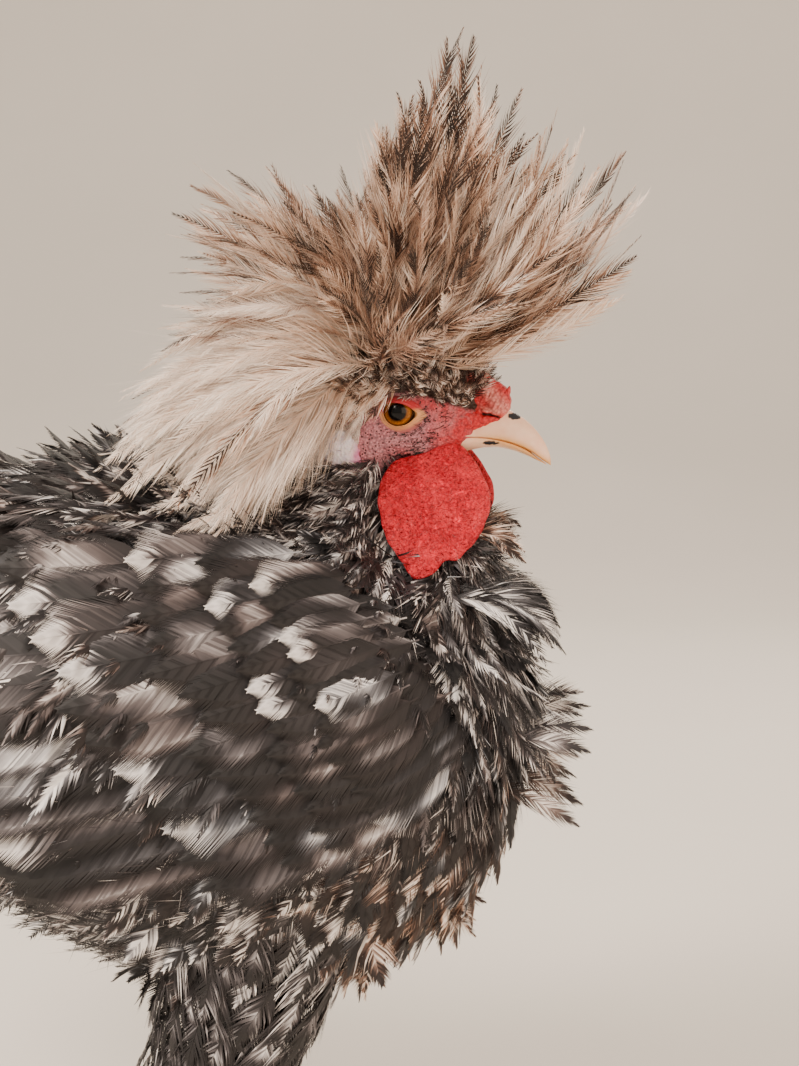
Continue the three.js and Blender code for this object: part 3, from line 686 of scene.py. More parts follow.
def streaked(t: Floats, u: Floats, draw: Floats, seed: Floats, base: Floats) -> tuple[Floats, Floats]:
    """Neck feathers: black with white barbs at the edges, or white with a black middle and tip."""
    a = np.abs(u)
    across = np.where(seed > 0.55, 1 - a, a)
    streak = step_between(0.3, 0.75, across + 0.5 * (draw - 0.5))
    blotch = 0.5 + 0.5 * np.sin(seed * 50 + 7 * t)
    light = 0.05 + 0.2 * base + (0.3 + 1.0 * base) * streak * (0.35 + 0.65 * blotch) * (0.75 + 0.5 * draw)
    return light * (1 - 0.3 * step_between(0.8, 1, t)), np.full_like(t, 1.0)


def crested(t: Floats, u: Floats, draw: Floats, seed: Floats, base: Floats) -> tuple[Floats, Floats]:
    """Crest feathers: pale buff, with dark slanting streaks beside the shaft and often a dark tip."""
    a = np.abs(u)
    amount = step_between(0.08, 0.5, seed)
    slant = np.sin(t * (9 + 9 * seed) - a * 2.2 + seed * 40 + 0.9 * (draw - 0.5))
    bars = step_between(0.15, 0.6, slant) * (1 - step_between(0.45, 0.95, a))
    spine = 0.5 * bell(a, 0, 0.12) * step_between(0.3, 0.5, t)
    dark_tip = step_between(0.74, 0.95, t) * (np.sin(seed * 77) > 0.1) * (0.4 + draw)
    root = 0.26 * (1 - step_between(0.0, 0.4, t))
    light = base * (0.88 + 0.34 * draw) - amount * (0.62 * bars + spine + 0.42 * dark_tip) - root
    return np.clip(light, 0.06, 1), np.clip(0.85 + 0.15 * bars, 0, 1)


def silky(t: Floats, u: Floats, draw: Floats, seed: Floats, base: Floats) -> tuple[Floats, Floats]:
    """The crest's back: cream, a shade warmer towards the roots, with hardly a mark."""
    hair = 0.2 * (draw - 0.5) - 0.12 * bell(u, 0, 0.08)
    light = base + hair - 0.05 * (1 - t) - 0.45 * (seed > 0.95) * step_between(0.3, 0.6, t)
    return light, 0.8 + 0.2 * (1 - t)


# Finishes


def linear(code: str) -> tuple[float, float, float, float]:
    """A hex colour in sRGB as linear red, green, blue and alpha."""
    parts = [int(code[k : k + 2], 16) / 255 for k in (1, 3, 5)]
    made = [p / 12.92 if p <= 0.04045 else ((p + 0.055) / 1.055) ** 2.4 for p in parts]
    return made[0], made[1], made[2], 1.0


class Finish:
    """A node material with one principled shader, and small tools to build on it."""

    def __init__(self, name: str, roughness: float, **sockets: float) -> None:
        """Makes the material."""
        self.material = bpy.data.materials.new(name)
        self.material.use_nodes = True
        self.tree = self.material.node_tree
        self.shader = self.tree.nodes["Principled BSDF"]
        self.shader.inputs["Roughness"].default_value = roughness
        for key, value in sockets.items():
            self.shader.inputs[key.replace("_", " ")].default_value = value
        self.where = self.add("ShaderNodeTexCoord").outputs["Object"]

    def add(self, kind: str, links: dict | None = None, **settings: object) -> bpy.types.Node:
        """Adds a node."""
        node = self.tree.nodes.new(kind)
        for key, value in settings.items():
            setattr(node, key, value)
        for key, value in (links or {}).items():
            if isinstance(value, Socket):
                self.tree.links.new(value, node.inputs[key])
            else:
                node.inputs[key].default_value = value
        return node

    def ramp(self, value: Socket, stops: dict[float, str]) -> Socket:
        """Turns a number into a colour."""
        node = self.add("ShaderNodeValToRGB", {"Fac": value})
        bands = node.color_ramp.elements
        for k, (at, code) in enumerate(stops.items()):
            band = bands[k] if k < 2 else bands.new(at)
            band.position = at
            band.color = linear(code)
        return node.outputs["Color"]

    def mix(self, factor: object, a: object, b: object, blend: str = "MIX") -> Socket:
        """Mixes two colours."""
        node = self.add("ShaderNodeMix", data_type="RGBA", blend_type=blend)
        for key, value in ((0, factor), (6, a), (7, b)):
            if isinstance(value, Socket):
                self.tree.links.new(value, node.inputs[key])
            else:
                node.inputs[key].default_value = value
        return node.outputs[2]

    def mark(self, mark: Mark) -> Socket:
        """One of the mesh's own per-point values."""
        return self.add("ShaderNodeAttribute", attribute_name=mark.value).outputs["Fac"]

    def noise(self, millimetres: float, detail: float = 3, roughness: float = 0.55) -> Socket:
        """Cloudy noise whose swellings are about this many millimetres across."""
        links = {"Vector": self.where, "Scale": 1 / (millimetres * METRES)}
        links |= {"Detail": detail, "Roughness": roughness}
        return self.add("ShaderNodeTexNoise", links).outputs["Fac"]

    def cells(self, millimetres: float) -> Socket:
        """Distance inside a pattern of cells about this many millimetres across."""
        links = {"Vector": self.where, "Scale": 1 / (millimetres * METRES)}
        return self.add("ShaderNodeTexVoronoi", links).outputs["Distance"]

    def band(self, value: Socket, low: float, high: float) -> Socket:
        """A number stretched so that low gives 0 and high gives 1."""
        links = {"Value": value, "From Min": low, "From Max": high}
        return self.add("ShaderNodeMapRange", links).outputs["Result"]

    def bump(self, height: Socket, millimetres: float, strength: float = 0.6) -> None:
        """Raises the surface by a height map, this many millimetres from 0 to 1."""
        links = {"Height": height, "Distance": millimetres * METRES, "Strength": strength}
        if self.shader.inputs["Normal"].is_linked:
            links["Normal"] = self.shader.inputs["Normal"].links[0].from_socket
        node = self.add("ShaderNodeBump", links)
        self.tree.links.new(node.outputs["Normal"], self.shader.inputs["Normal"])

    def colour(self, value: Socket) -> None:
        """Feeds the shader's base colour."""
        self.tree.links.new(value, self.shader.inputs["Base Color"])


GREYS = {0.0: "#060607", 1.0: "#F7F5F3", 0.3: "#232327", 0.55: "#56595F", 0.8: "#B6B8BC"}
BUFFS = {0.0: "#140B07", 1.0: "#FFF2E4", 0.3: "#432A1C", 0.55: "#A0755A", 0.8: "#F6D2B4"}


def plumage_colour(finish: Finish) -> Socket:
    """The colour that light and warmth stand for, shared by feathers and the skin under them."""
    light = finish.mark(Mark.LIGHT)
    grey = finish.ramp(light, GREYS)
    buff = finish.ramp(light, BUFFS)
    return finish.mix(finish.mark(Mark.WARM), grey, buff)


class FeatherFinish(Finish):
    """Keratin barbs: soft, hardly glossy, a faint sheen at grazing light."""

    def __init__(self, name: str, roughness: float, sheen: float) -> None:
        """Builds the nodes."""
        super().__init__(name, roughness, Sheen_Weight=sheen, Sheen_Roughness=0.4, IOR=1.54)
        self.shader.inputs["Specular IOR Level"].default_value = 0.35
        cloud = self.band(self.noise(9.0), 0.3, 0.7)
        shade = self.ramp(cloud, {0.0: "#D9D9D9", 1.0: "#FFFFFF"})
        self.colour(self.mix(1.0, plumage_colour(self), shade, "MULTIPLY"))


class SkinFinish(Finish):
    """Bare face skin, red and pebbled with darker pores and a pale bloom, and dark skin under feathers."""

    def __init__(self) -> None:
        """Builds the nodes."""
        super().__init__("bare_skin", 0.5, IOR=1.42, Subsurface_Weight=0.12, Subsurface_Scale=0.002)
        self.shader.inputs["Subsurface Radius"].default_value = (1.0, 0.35, 0.25)
        pebble = self.cells(0.85)
        cloud = self.band(self.noise(6.0), 0.35, 0.68)
        blush = self.mark(Mark.BLUSH)
        red = self.ramp(pebble, {0.0: "#D8303A", 1.0: "#7E0F1A", 0.45: "#BE1F2C"})
        pink = self.ramp(pebble, {0.0: "#D48A92", 1.0: "#502C36", 0.5: "#A8636E"})
        face = self.mix(blush, pink, red)
        face = self.mix(self.band(cloud, 0.0, 3.0), face, linear("#C7A2A8"))
        pore_stops = {0.0: "#2A1A1C", 1.0: "#FFFFFF", 0.22: "#6A4A4C", 0.34: "#FFFFFF"}
        pores = self.ramp(self.cells(1.15), pore_stops)
        speck = self.mix(self.mark(Mark.SPECK), linear("#FFFFFF"), pores)
        face = self.mix(1.0, face, speck, "MULTIPLY")
        self.colour(self.mix(self.mark(Mark.BARE), plumage_colour(self), face))
        self.bump(pebble, 0.5, 1.0)
        self.bump(self.noise(2.4), 0.4, 0.8)


class WattleFinish(Finish):
    """Wattle and comb skin: bright blood red and close fine wrinkles, with darker red painted into the
    wrinkles' hollows as shade and paler patches painted as highlights.
    """

    def __init__(self) -> None:
        """Builds the nodes."""
        super().__init__("wattle_skin", 0.36, IOR=1.42, Subsurface_Weight=0.08, Subsurface_Scale=0.002)
        self.shader.inputs["Subsurface Radius"].default_value = (1.0, 0.3, 0.2)
        pebble = self.cells(1.05)
        fold = self.band(self.noise(2.2, 5, 0.6), 0.36, 0.64)
        red = self.ramp(pebble, {0.0: "#F42C42", 1.0: "#980618", 0.5: "#DE162E"})
        # darker red painted into the hollows of the folds: painted shade
        deep = self.mix(self.band(fold, 1.0, 0.0), red, linear("#A80A1C"))
        # paler red patches at random places: painted highlights
        patch = self.band(self.noise(11.0), 0.42, 0.66)
        self.colour(self.mix(patch, deep, self.mix(0.5, deep, linear("#F4404A"))))
        self.bump(self.cells(0.7), 0.5, 1.0)
        self.bump(pebble, 0.6, 1.0)
        self.bump(fold, 0.8, 1.0)


class CombFinish(Finish):
    """The arched flesh over the nostrils: red roots and hollows, pink and tan painted on the ridge and the
    nostril arches as lit, a few dark scabs and near-black painted shade in the nostril slits.
    """

    def __init__(self) -> None:
        """Builds the nodes."""
        super().__init__("comb_skin", 0.45, IOR=1.42, Subsurface_Weight=0.12, Subsurface_Scale=0.002)
        pebble = self.cells(1.0)
        blush = self.mark(Mark.BLUSH)
        tan = self.ramp(pebble, {0.0: "#E2978C", 1.0: "#A2504A", 0.5: "#CF7A72"})
        red = self.ramp(pebble, {0.0: "#D92830", 1.0: "#860C16", 0.5: "#BE1822"})
        # tan on the ridge and the nostril arches is painted light; red stays in the hollows and at the roots
        face = self.mix(blush, tan, red)
        scab = self.band(self.noise(1.9, 4, 0.65), 0.62, 0.7)
        face = self.mix(scab, face, linear("#4A1B1E"))
        # near-black painted shade in the nostril slits
        self.colour(self.mix(self.mark(Mark.NOSTRIL_SHADE), face, linear("#200A0B")))
        self.bump(pebble, 0.35, 0.8)
        self.bump(self.noise(1.6), 0.3, 0.6)


class LidFinish(Finish):
    """Eyelid skin: peach below, red above, in fine rings."""

    def __init__(self) -> None:
        """Builds the nodes."""
        super().__init__("lid_skin", 0.45, IOR=1.42, Subsurface_Weight=0.1, Subsurface_Scale=0.001)
        stops = {0.0: "#D9A066", 1.0: "#B5686A", 0.35: "#CF9468", 0.6: "#A55A58"}
        rim = self.ramp(self.mark(Mark.RIM), stops)
        self.colour(self.mix(self.mark(Mark.UPPER), rim, linear("#B8343A")))
        self.bump(self.cells(0.6), 0.15, 0.7)


class LobeFinish(Finish):
    """Ear lobe: pale lavender skin with pink patches."""

    def __init__(self) -> None:
        """Builds the nodes."""
        super().__init__("lobe_skin", 0.6, IOR=1.42, Subsurface_Weight=0.15, Subsurface_Scale=0.002)
        patch = self.band(self.noise(3.0), 0.35, 0.7)
        pale = self.ramp(patch, {0.0: "#EDE6EC", 1.0: "#CFC3D0"})
        pink = self.ramp(patch, {0.0: "#B4417E", 1.0: "#D59ABB"})
        self.colour(self.mix(self.mark(Mark.BLUSH), pale, pink))
        self.bump(self.cells(0.9), 0.3, 0.7)


class BeakFinish(Finish):
    """Beak horn: pale pink cream, yellower along the biting edge, with a few near-black marks."""

    def __init__(self) -> None:
        """Builds the nodes."""
        super().__init__("beak_horn", 0.32, IOR=1.54, Subsurface_Weight=0.1, Subsurface_Scale=0.0015)
        cloud = self.band(self.noise(7.0), 0.3, 0.7)
        pale = self.ramp(cloud, {0.0: "#F2C2A2", 1.0: "#FBD8BC"})
        edge = self.mix(self.mark(Mark.EDGE), pale, linear("#DFA662"))
        mark = self.band(self.mark(Mark.SPOT), 0.35, 0.6)
        self.colour(self.mix(mark, edge, linear("#15131A")))
        self.bump(self.noise(1.5, 4, 0.6), 0.12, 0.35)


class EyeFinish(Finish):
    """Eye: black pupil, amber iris with fine spokes and a dark outer ring, wet and clear over all."""

    def __init__(self) -> None:
        """Builds the nodes."""
        super().__init__("eye_amber", 0.2, IOR=1.33, Coat_Weight=0.35, Coat_Roughness=0.02, Coat_IOR=1.33)
        self.shader.inputs["Specular IOR Level"].default_value = 0.2
        ring = self.mark(Mark.RING)
        stops = {
            0.0: "#050404",
            1.0: "#120A06",
            0.5: "#050404",
            0.54: "#4A280A",
            0.62: "#87500F",
            0.74: "#A8691E",
            0.83: "#7A4710",
            0.9: "#241206",
        }
        iris = self.ramp(ring, stops)
        spokes = self.band(self.noise(0.7, 2), 0.35, 0.7)
        self.colour(self.mix(1.0, iris, self.ramp(spokes, {0.0: "#C8C8C8", 1.0: "#FFFFFF"}), "MULTIPLY"))


class LegFinish(Finish):
    """Leg scales: slate horn plates, paler along their edges, dusty in the joints."""

    def __init__(self) -> None:
        """Builds the nodes."""
        super().__init__("leg_scale", 0.48, IOR=1.5)
        plate = self.mark(Mark.PLATE)
        cloud = self.band(self.noise(5.0), 0.3, 0.7)
        slate = self.ramp(plate, {0.0: "#23272B", 1.0: "#8B9297", 0.4: "#535A60"})
        self.colour(self.mix(self.band(cloud, 0.2, 2.0), slate, linear("#A39C90")))
        self.bump(self.cells(1.6), 0.25, 0.5)


class ClawFinish(Finish):
    """Claw horn: dark brown grey, worn paler to the tip, finely ridged along its length."""

    def __init__(self) -> None:
        """Builds the nodes."""
        super().__init__("claw_horn", 0.38, IOR=1.54)
        cloud = self.band(self.noise(3.0), 0.3, 0.7)
        self.colour(self.ramp(cloud, {0.0: "#2B2724", 1.0: "#6A625A"}))
        self.bump(self.noise(0.9), 0.1, 0.4)


# Skin


@dataclass(frozen=True)
class Skin:
    """One skin from the beak's root to the tail: rings between a back line and a belly line.

    Each row gives the back line's x and z, the belly line's x and z, and the half-width.
    """

    lines: tuple[tuple[float, ...], ...] = (
        (87.0, 354.0, 87.0, 341.5, 6.2),
        (83.0, 357.0, 82.0, 337.5, 8.6),
        (76.0, 361.5, 75.0, 333.5, 10.6),
        (70.0, 367.5, 68.0, 330.5, 12.2),
        (62.0, 373.0, 60.0, 327.5, 13.6),
        (52.0, 374.0, 53.0, 325.0, 15.2),
        (42.0, 370.0, 50.0, 321.0, 16.4),
        (33.0, 361.0, 52.0, 316.0, 17.0),
        (27.0, 349.0, 57.0, 309.0, 19.0),
        (22.0, 337.0, 66.0, 300.0, 24.0),
        (12.0, 324.0, 80.0, 286.0, 35.0),
        (-4.0, 312.0, 92.0, 262.0, 48.0),
        (-24.0, 305.0, 98.0, 235.0, 57.0),
        (-50.0, 303.0, 88.0, 203.0, 61.0),
        (-75.0, 302.0, 56.0, 180.0, 61.0),
        (-98.0, 299.0, 8.0, 173.0, 57.0),
        (-116.0, 295.0, -40.0, 181.0, 49.0),
        (-130.0, 290.0, -82.0, 205.0, 37.0),
        (-140.0, 285.0, -114.0, 236.0, 23.0),
        (-146.0, 280.0, -134.0, 262.0, 8.0),
    )
    face_rows: int = 150
    body_rows: int = 60
    around: int = 176

    def at(self, along: Floats, turn: Floats) -> Floats:
        """The skin at a place along its lines and an angle round it, 0 on the back line."""
        line = smooth(self.lines, along)
        back = xyz(line[..., 0], 0, line[..., 1])
        belly = xyz(line[..., 2], 0, line[..., 3])
        middle, half = (back + belly) / 2, (back - belly) / 2
        wide = xyz(0, line[..., 4], 0)
        return middle + half * np.cos(turn)[..., None] + wide * np.sin(turn)[..., None]

    def beside(self, x: Floats, up: Floats) -> tuple[Floats, Floats]:
        """The face's half-width at places forward and up from the eye, and the height held on the skin."""
        rows = np.array(self.lines[:8])
        mean = (rows[:, 0] + rows[:, 2]) / 2 - EYE_X
        order = np.argsort(mean)
        top, under, wide = (np.interp(x, mean[order], rows[order, k]) for k in (1, 3, 4))
        middle, half = (top + under) / 2 - EYE_Z, (top - under) / 2
        held = np.clip(up, middle - 0.97 * half, middle + 0.97 * half)
        return wide * np.sqrt(1 - ((held - middle) / half) ** 2), held

    def build(self) -> Shell:
        """The skin with its folds, eye hollows and marks, and its unwrap."""
        nape = 8 / (len(self.lines) - 1)
        along = np.concatenate(
            [np.linspace(0, nape, self.face_rows, endpoint=False), np.linspace(nape, 1, self.body_rows)]
        )
        turn = circle(self.around)
        v, u = np.meshgrid(along, turn, indexing="ij")
        grid = self.at(v, u)
        out = unit(np.cross(np.gradient(grid, axis=1), np.gradient(grid, axis=0)))
        middle = grid.mean(1, keepdims=True)
        out *= np.sign(np.sum(out * (grid - middle), -1, keepdims=True))
        x, z = grid[..., 0] - EYE_X, grid[..., 2] - EYE_Z
        side = np.abs(np.sin(u))
        from_eye = np.hypot(x - 1, (z + 0.5) * 1.15)
        hollow = -2.2 * bell(from_eye, 0, 7.5) + 0.7 * bell(from_eye, 9.5, 2.6)
        cheek = 1.0 * np.exp(-(((x + 8) / 9) ** 2 + ((z + 13) / 7) ** 2))
        gape = 0.9 * np.exp(-(((x - 17) / 4) ** 2 + ((z + 9) / 3) ** 2))
        pebble = 0.16 * waves(grid, 2.6, 3.0) + 0.22 * waves(grid, 6.5, 8.0)
        on_face = 1 - step_between(nape * 0.9, nape * 1.15, v)
        grid = grid + out * ((hollow + cheek + gape) * side + pebble)[..., None] * on_face[..., None]
        grid = np.where((z < -14)[..., None], tuck(grid, 5.5), grid)

        shell = Shell.of_grid(grid)
        brow = 5.4 - 0.3 * np.clip(x - 4, 0, None) + 0.9 * np.clip(x + 6, None, 0)
        bare = on_face * (1 - step_between(-0.4, 1.6, z - np.maximum(brow, -9)))
        bare = bare * (1 - step_between(22, 26, -x))
        bare = bare * (1 - step_between(25, 28, -z) * step_between(-12, -4, -x))
        red = np.clip(
            1.05 * step_between(7, 15, x)
            + 1.0 * np.exp(-(((x - 9) / 5) ** 2 + ((z - 2.6) / 2.4) ** 2))
            + 0.9 * step_between(-9, -14, z + 0.3 * x) * step_between(-4, 6, x),
            0,
            1,
        )
        speck = on_face * (1 - 0.85 * step_between(13, 19, x)) * step_between(-30, -16, x)
        dark = 0.2 + 0.05 * waves(grid, 14.0, 5.0)
        flat = {Mark.BARE: bare, Mark.BLUSH: red, Mark.SPECK: speck, Mark.LIGHT: dark}
        flat[Mark.WARM] = np.where(on_face > 0.5, 0.8, 0.0) * (1 - bare)
        shell.mark_grid(flat)
        places = np.stack([v, u / (2 * math.pi)], -1).reshape(-1, 2)
        places = 0.02 + 0.96 * np.concatenate([places, [[0, 0.5], [1, 0.5]]])
        shell.uv = places
        SKIN_MAP.learn(shell.points[::3], places[::3])
        return shell


# Eyes and lids


@dataclass(frozen=True)
class Eye:
    """An eyeball between an almond of lids."""

    # the opening between the lids: forward and up from the pupil's middle
    opening: tuple[tuple[float, float], ...] = (
        (-5.0, 0.6), (-4.3, 2.3), (-1.8, 2.9), (1.4, 2.6), (4.0, 1.3), (5.4, -0.7),
        (4.3, -2.9), (2.0, -4.3), (-1.2, -4.5), (-3.8, -2.7),
    )

    def ball(self, sign: float) -> Shell:
        """The eyeball, its pole towards the outside, each point marked with its distance from the pupil."""
        down, across = 48, 64
        fall = np.linspace(0.0, math.pi, down + 1)[1:-1]
        turn = circle(across)
        f, a = np.meshgrid(fall, turn, indexing="ij")
        ray = xyz(np.sin(f) * np.cos(a), sign * np.cos(f), np.sin(f) * np.sin(a))
        bulge = EYE_RADIUS + 0.35 * bell(f, 0, 0.6)
        shell = Shell.of_grid(np.array([EYE_X, sign * EYE_Y, EYE_Z]) + ray * bulge[..., None])
        if sign < 0:
            shell.flipped()
        ring = np.where(f < math.pi / 2, EYE_RADIUS * np.sin(f) / 5.2, 1.0)
        shell.marks = {Mark.RING: np.concatenate([np.clip(ring, 0, 1).ravel(), [0.0, 1.0]])}
        return shell

    def lids(self, sign: float) -> Shell:
        """The lids: a band from the opening's edge on the eyeball out onto the face, with fine folds.

        The band runs from the opening to the opening made 1.75 times as large; it starts on the
        eyeball, rises in a rim and sinks into the face.

        Args:
            sign: -1 for the right eye, 1 for the left.

        Returns:
            The shell of both lids.
        """
        around, across = 120, 26
        turn = np.linspace(0, 1, around + 1)[:-1]
        almond = smooth(np.array(self.opening + self.opening[:1]), turn)
        r = np.linspace(0, 1, across)[:, None]
        corner = np.exp(-(((almond[None, :, 1] + 0.7) / 1.5) ** 2)) * (almond[None, :, 0] > 0)
        spread = 1 + 0.75 * r**1.2 + 0.55 * corner * r**0.45
        x = almond[None, :, 0] * spread
        z = almond[None, :, 1] * spread
        reach = np.hypot(x, z)
        line = smooth(SKIN.lines, np.full(1, 4 / (len(SKIN.lines) - 1)))[0]
        middle, half = (line[1] + line[3]) / 2, (line[1] - line[3]) / 2
        face = (line[4] - 0.18 * x) * np.sqrt(np.clip(1 - ((z + EYE_Z - middle) / half) ** 2, 0.2, 1))
        over = EYE_Y + np.sqrt(np.clip((EYE_RADIUS + 0.6) ** 2 - reach**2, 0, None))
        gap = face - 0.3 - over
        y = over + 0.5 * (gap + np.sqrt(gap**2 + 0.6))
        rim = 0.45 * bell(r, 0.09, 0.08) + 0.3 * bell(r, 0.36, 0.08)
        folds = 0.1 * np.sin(r * 30) * (1 - r)
        y = y + rim + folds - 1.2 * step_between(0.7, 1.0, r)
        y[0] = EYE_Y + np.sqrt(np.clip((EYE_RADIUS - 0.2) ** 2 - reach[0] ** 2, 0.5, None))
        grid = by_eye(x, sign * y, z)
        shell = Shell.of_grid(grid, caps=False)
        if sign > 0:
            shell.flipped()
        upper = step_between(-0.5, 1.0, z - 0.1 * x) + np.zeros_like(x)
        shell.marks = {Mark.RIM: (r + np.zeros_like(x)).ravel(), Mark.UPPER: upper.ravel()}
        return shell


SKIN = Skin()


# Beak, comb, wattles and lobes


@dataclass(frozen=True)
class Beak:
    """Both halves of the beak, each a row of sections along X.

    Each station gives x from the eye, the upper edge, the biting edge, the lower edge and the half-width.
    """

    stations: tuple[tuple[float, ...], ...] = (
        (17.0, 1.2, -8.8, -13.8, 8.2),
        (22.0, 2.2, -8.7, -13.2, 7.4),
        (27.5, 2.6, -8.8, -12.3, 6.5),
        (33.0, 1.4, -9.6, -12.2, 5.4),
        (38.0, -1.0, -11.0, -13.2, 4.4),
        (42.5, -4.4, -13.0, -14.8, 3.3),
        (46.2, -8.8, -15.6, -16.4, 2.2),
        (48.4, -13.0, -17.0, -17.2, 1.3),
        (49.4, -16.4, -17.6, -17.7, 0.5),
    )

    def half(self, upper: bool) -> Shell:
        """One half: an arched section above its biting edge, or a shallow trough below it.

        The section is a superellipse: sideways by the half-width, upwards to the edge's height, with
        the culmen drawn to a soft ridge and the biting edge turned sharply in.

        Args:
            upper: the upper half, or the lower one.

        Returns:
            The half's shell.
        """
        rows, columns = 90, 72
        v, a = np.meshgrid(np.linspace(0, 1, rows), circle(columns), indexing="ij")
        s = smooth(self.stations, v)
        x, wide = s[..., 0], s[..., 4]
        bite = s[..., 2] + (0.12 if upper else -0.12)
        far = s[..., 1] if upper else s[..., 3]
        up = np.cos(a)
        side = np.sign(np.sin(a)) * np.abs(np.sin(a)) ** 0.9
        if upper:
            high = np.where(up > 0, far - bite, 1.1)
            z = bite + 0.55 + np.sign(up) * np.abs(up) ** 1.1 * high * 0.95
            wide = wide * (1 - 0.1 * (up > 0) * np.abs(up))
        else:
            deep = np.where(up < 0, bite - far, 0.35)
            z = bite + np.sign(up) * np.abs(up) * deep
            wide = wide * 0.93
            x = x - 1.6 * v
        grid = by_eye(x, wide * side, z)
        grid[..., 1] += 0.05 * waves(grid, 3.0, 2.0)
        shell = Shell.of_grid(grid)
        edge = np.exp(-(((z - bite) / 1.6) ** 2)) * step_between(0.1, 0.4, v)
        if upper:
            spot = np.exp(-(((x - 37.4) / 2.4) ** 2 + ((z + 1.7) / 1.25) ** 2) ** 1.5)
        else:
            spot = np.exp(-(((x + 1.6 * v - 30.3) / 3.1) ** 2 + ((z + 10.4) / 0.8) ** 2) ** 1.5)
        spot = spot * (1 + 0.35 * waves(grid, 2.2, 6.0))
        return shell.mark_grid({Mark.EDGE: edge, Mark.SPOT: np.clip(spot, 0, 1)})


def ellipsoid(
    middle: Sequence[float], axes: Sequence[float], rows: int, columns: int
) -> tuple[Floats, Floats]:
    """A grid over an ellipsoid whose poles lie along X."""
    fall = np.linspace(0, math.pi, rows + 2)[1:-1]
    turn = circle(columns)
    f, a = np.meshgrid(fall, turn, indexing="ij")
    ray = xyz(np.cos(f), np.sin(f) * np.sin(a), np.sin(f) * np.cos(a))
    return np.asarray(middle) + ray * np.asarray(axes), ray


@dataclass(frozen=True)
class Comb:
    """The arched flesh over the beak's root, with a slit nostril each side and two small points."""

    middle: tuple[float, float] = (26.0, 1.5)  # forward and up from the eye
    # reach from the middle every 15 degrees in side view, from straight ahead, turning upwards
    reach: tuple[float, ...] = (
        10.0, 10.4, 10.4, 10.2, 9.8, 10.6, 11.6, 12.6, 12.4, 10.6, 9.4, 9.0,
        9.2, 10.0, 11.2, 12.4, 10.6, 8.8, 7.6, 7.0, 6.8, 7.2, 8.0, 9.2,
    )

    def build(self) -> Shell:
        """The flesh over the beak's root: two flat sides joined round its outline.

        The sides are as wide as the beak below and narrow upwards. A rounded ridge runs down each
        side from the crown to the front. Behind it the side is hollow and red. The nostril is a slit
        under an arch below the ridge.
        """
        turn = circle(150)
        reach = smooth(np.array(self.reach + self.reach[:1]), turn / (2 * math.pi))
        f, a = np.meshgrid(np.linspace(0, math.pi, 98)[1:-1], turn, indexing="ij")
        share = np.sin(f) ** 0.55
        x = self.middle[0] + share * reach[None] * np.cos(a)
        z = self.middle[1] + share * reach[None] * np.sin(a)
        side = np.sign(np.cos(f)) * np.abs(np.cos(f)) ** 0.28
        wide = np.interp(x, [15, 22, 27, 33, 38], [9.4, 8.6, 7.6, 6.3, 4.6])
        wide = wide * (1 - 0.6 * np.clip((z + 0.5) / 14, 0, 1) ** 0.9)
        off = (x + 0.95 * z - 34.0) / 1.38
        ridge = bell(off, 0.2, 1.9) * step_between(-3, 1, z)
        hollow = step_between(1.6, 3.4, -off) * step_between(-1, 1.5, z)
        lid_line = -0.9 - 1.2 * np.clip((x - 27) / 5.5, 0, 1) ** 2
        in_slit = step_between(25.5, 27.6, x) * (1 - step_between(32.0, 33.4, x))
        slit = np.exp(-(((z - lid_line) / 0.55) ** 2)) * in_slit
        arch = np.exp(-(((z - lid_line - 1.5) / 0.9) ** 2)) * in_slit
        lumps = xyz(x, np.sign(side) * 5.0, z)
        warts = 0.22 * waves(lumps, 2.4, 1.0) + 0.16 * waves(lumps, 1.2, 7.0)
        wide = wide + warts + 1.1 * ridge - 1.0 * hollow + 0.6 * arch - 1.5 * slit
        x = x + 0.25 * waves(lumps, 3.0, 4.0)
        z = z + 0.25 * waves(lumps, 2.6, 9.0)
        shell = Shell.of_grid(by_eye(x, side * wide, z))
        shell.flipped()
        # the ridge and the nostril arches are painted paler, as if lit; the hollow and the lower side keep the
        # red
        painted_lit_ridge = bell(off, 0.6, 2.6) * step_between(-3, 0, z)
        blush = np.clip(1 - painted_lit_ridge - 0.8 * arch, 0, 1)
        # the nostril slit is painted near-black as its shade
        dark = np.clip(slit * 1.3 - 0.2, 0, 1)
        marks = {Mark.BLUSH: blush, Mark.NOSTRIL_SHADE: dark}
        poles = {Mark.BLUSH: [0.5, 0.5], Mark.NOSTRIL_SHADE: [0.0, 0.0]}
        shell.marks = {k: np.concatenate([m.ravel(), poles[k]]) for k, m in marks.items()}
        return Shell.joined([shell] + [self.point(sign) for sign in SIDES.values()])

    def point(self, sign: float) -> Shell:
        """One small soft point at the comb's front."""
        path = np.array([[93.4, 1.6, 353.0], [94.4, 2.0, 355.0], [95.2, 2.3, 356.6], [95.6, 2.4, 358.0]])
        path[:, 1] *= sign
        t = np.linspace(0, 1, 20)
        shell = tube(smooth(path, t), smooth((1.6, 1.2, 0.8, 0.25), t), 24)
        shell.points += 0.1 * waves(shell.points, 1.8, 4.0)[:, None]
        shell.marks = {Mark.BLUSH: np.full(len(shell.points), 0.85), Mark.NOSTRIL_SHADE: np.zeros(len(shell.points))}
        return shell


def tube(path: Floats, radius: Floats, around: int) -> Shell:
    """Circles square to an upright path, closed at both ends."""
    along = unit(np.gradient(path, axis=0))
    hint = np.array([0.0, 1.0, 0.0])
    side = unit(hint - along * (along @ hint)[:, None])
    up = np.cross(side, along)
    turn = circle(around)
    ring = side[:, None] * np.sin(turn)[None, :, None] + up[:, None] * np.cos(turn)[None, :, None]
    return Shell.of_grid(path[:, None] + ring * radius[:, None, None])


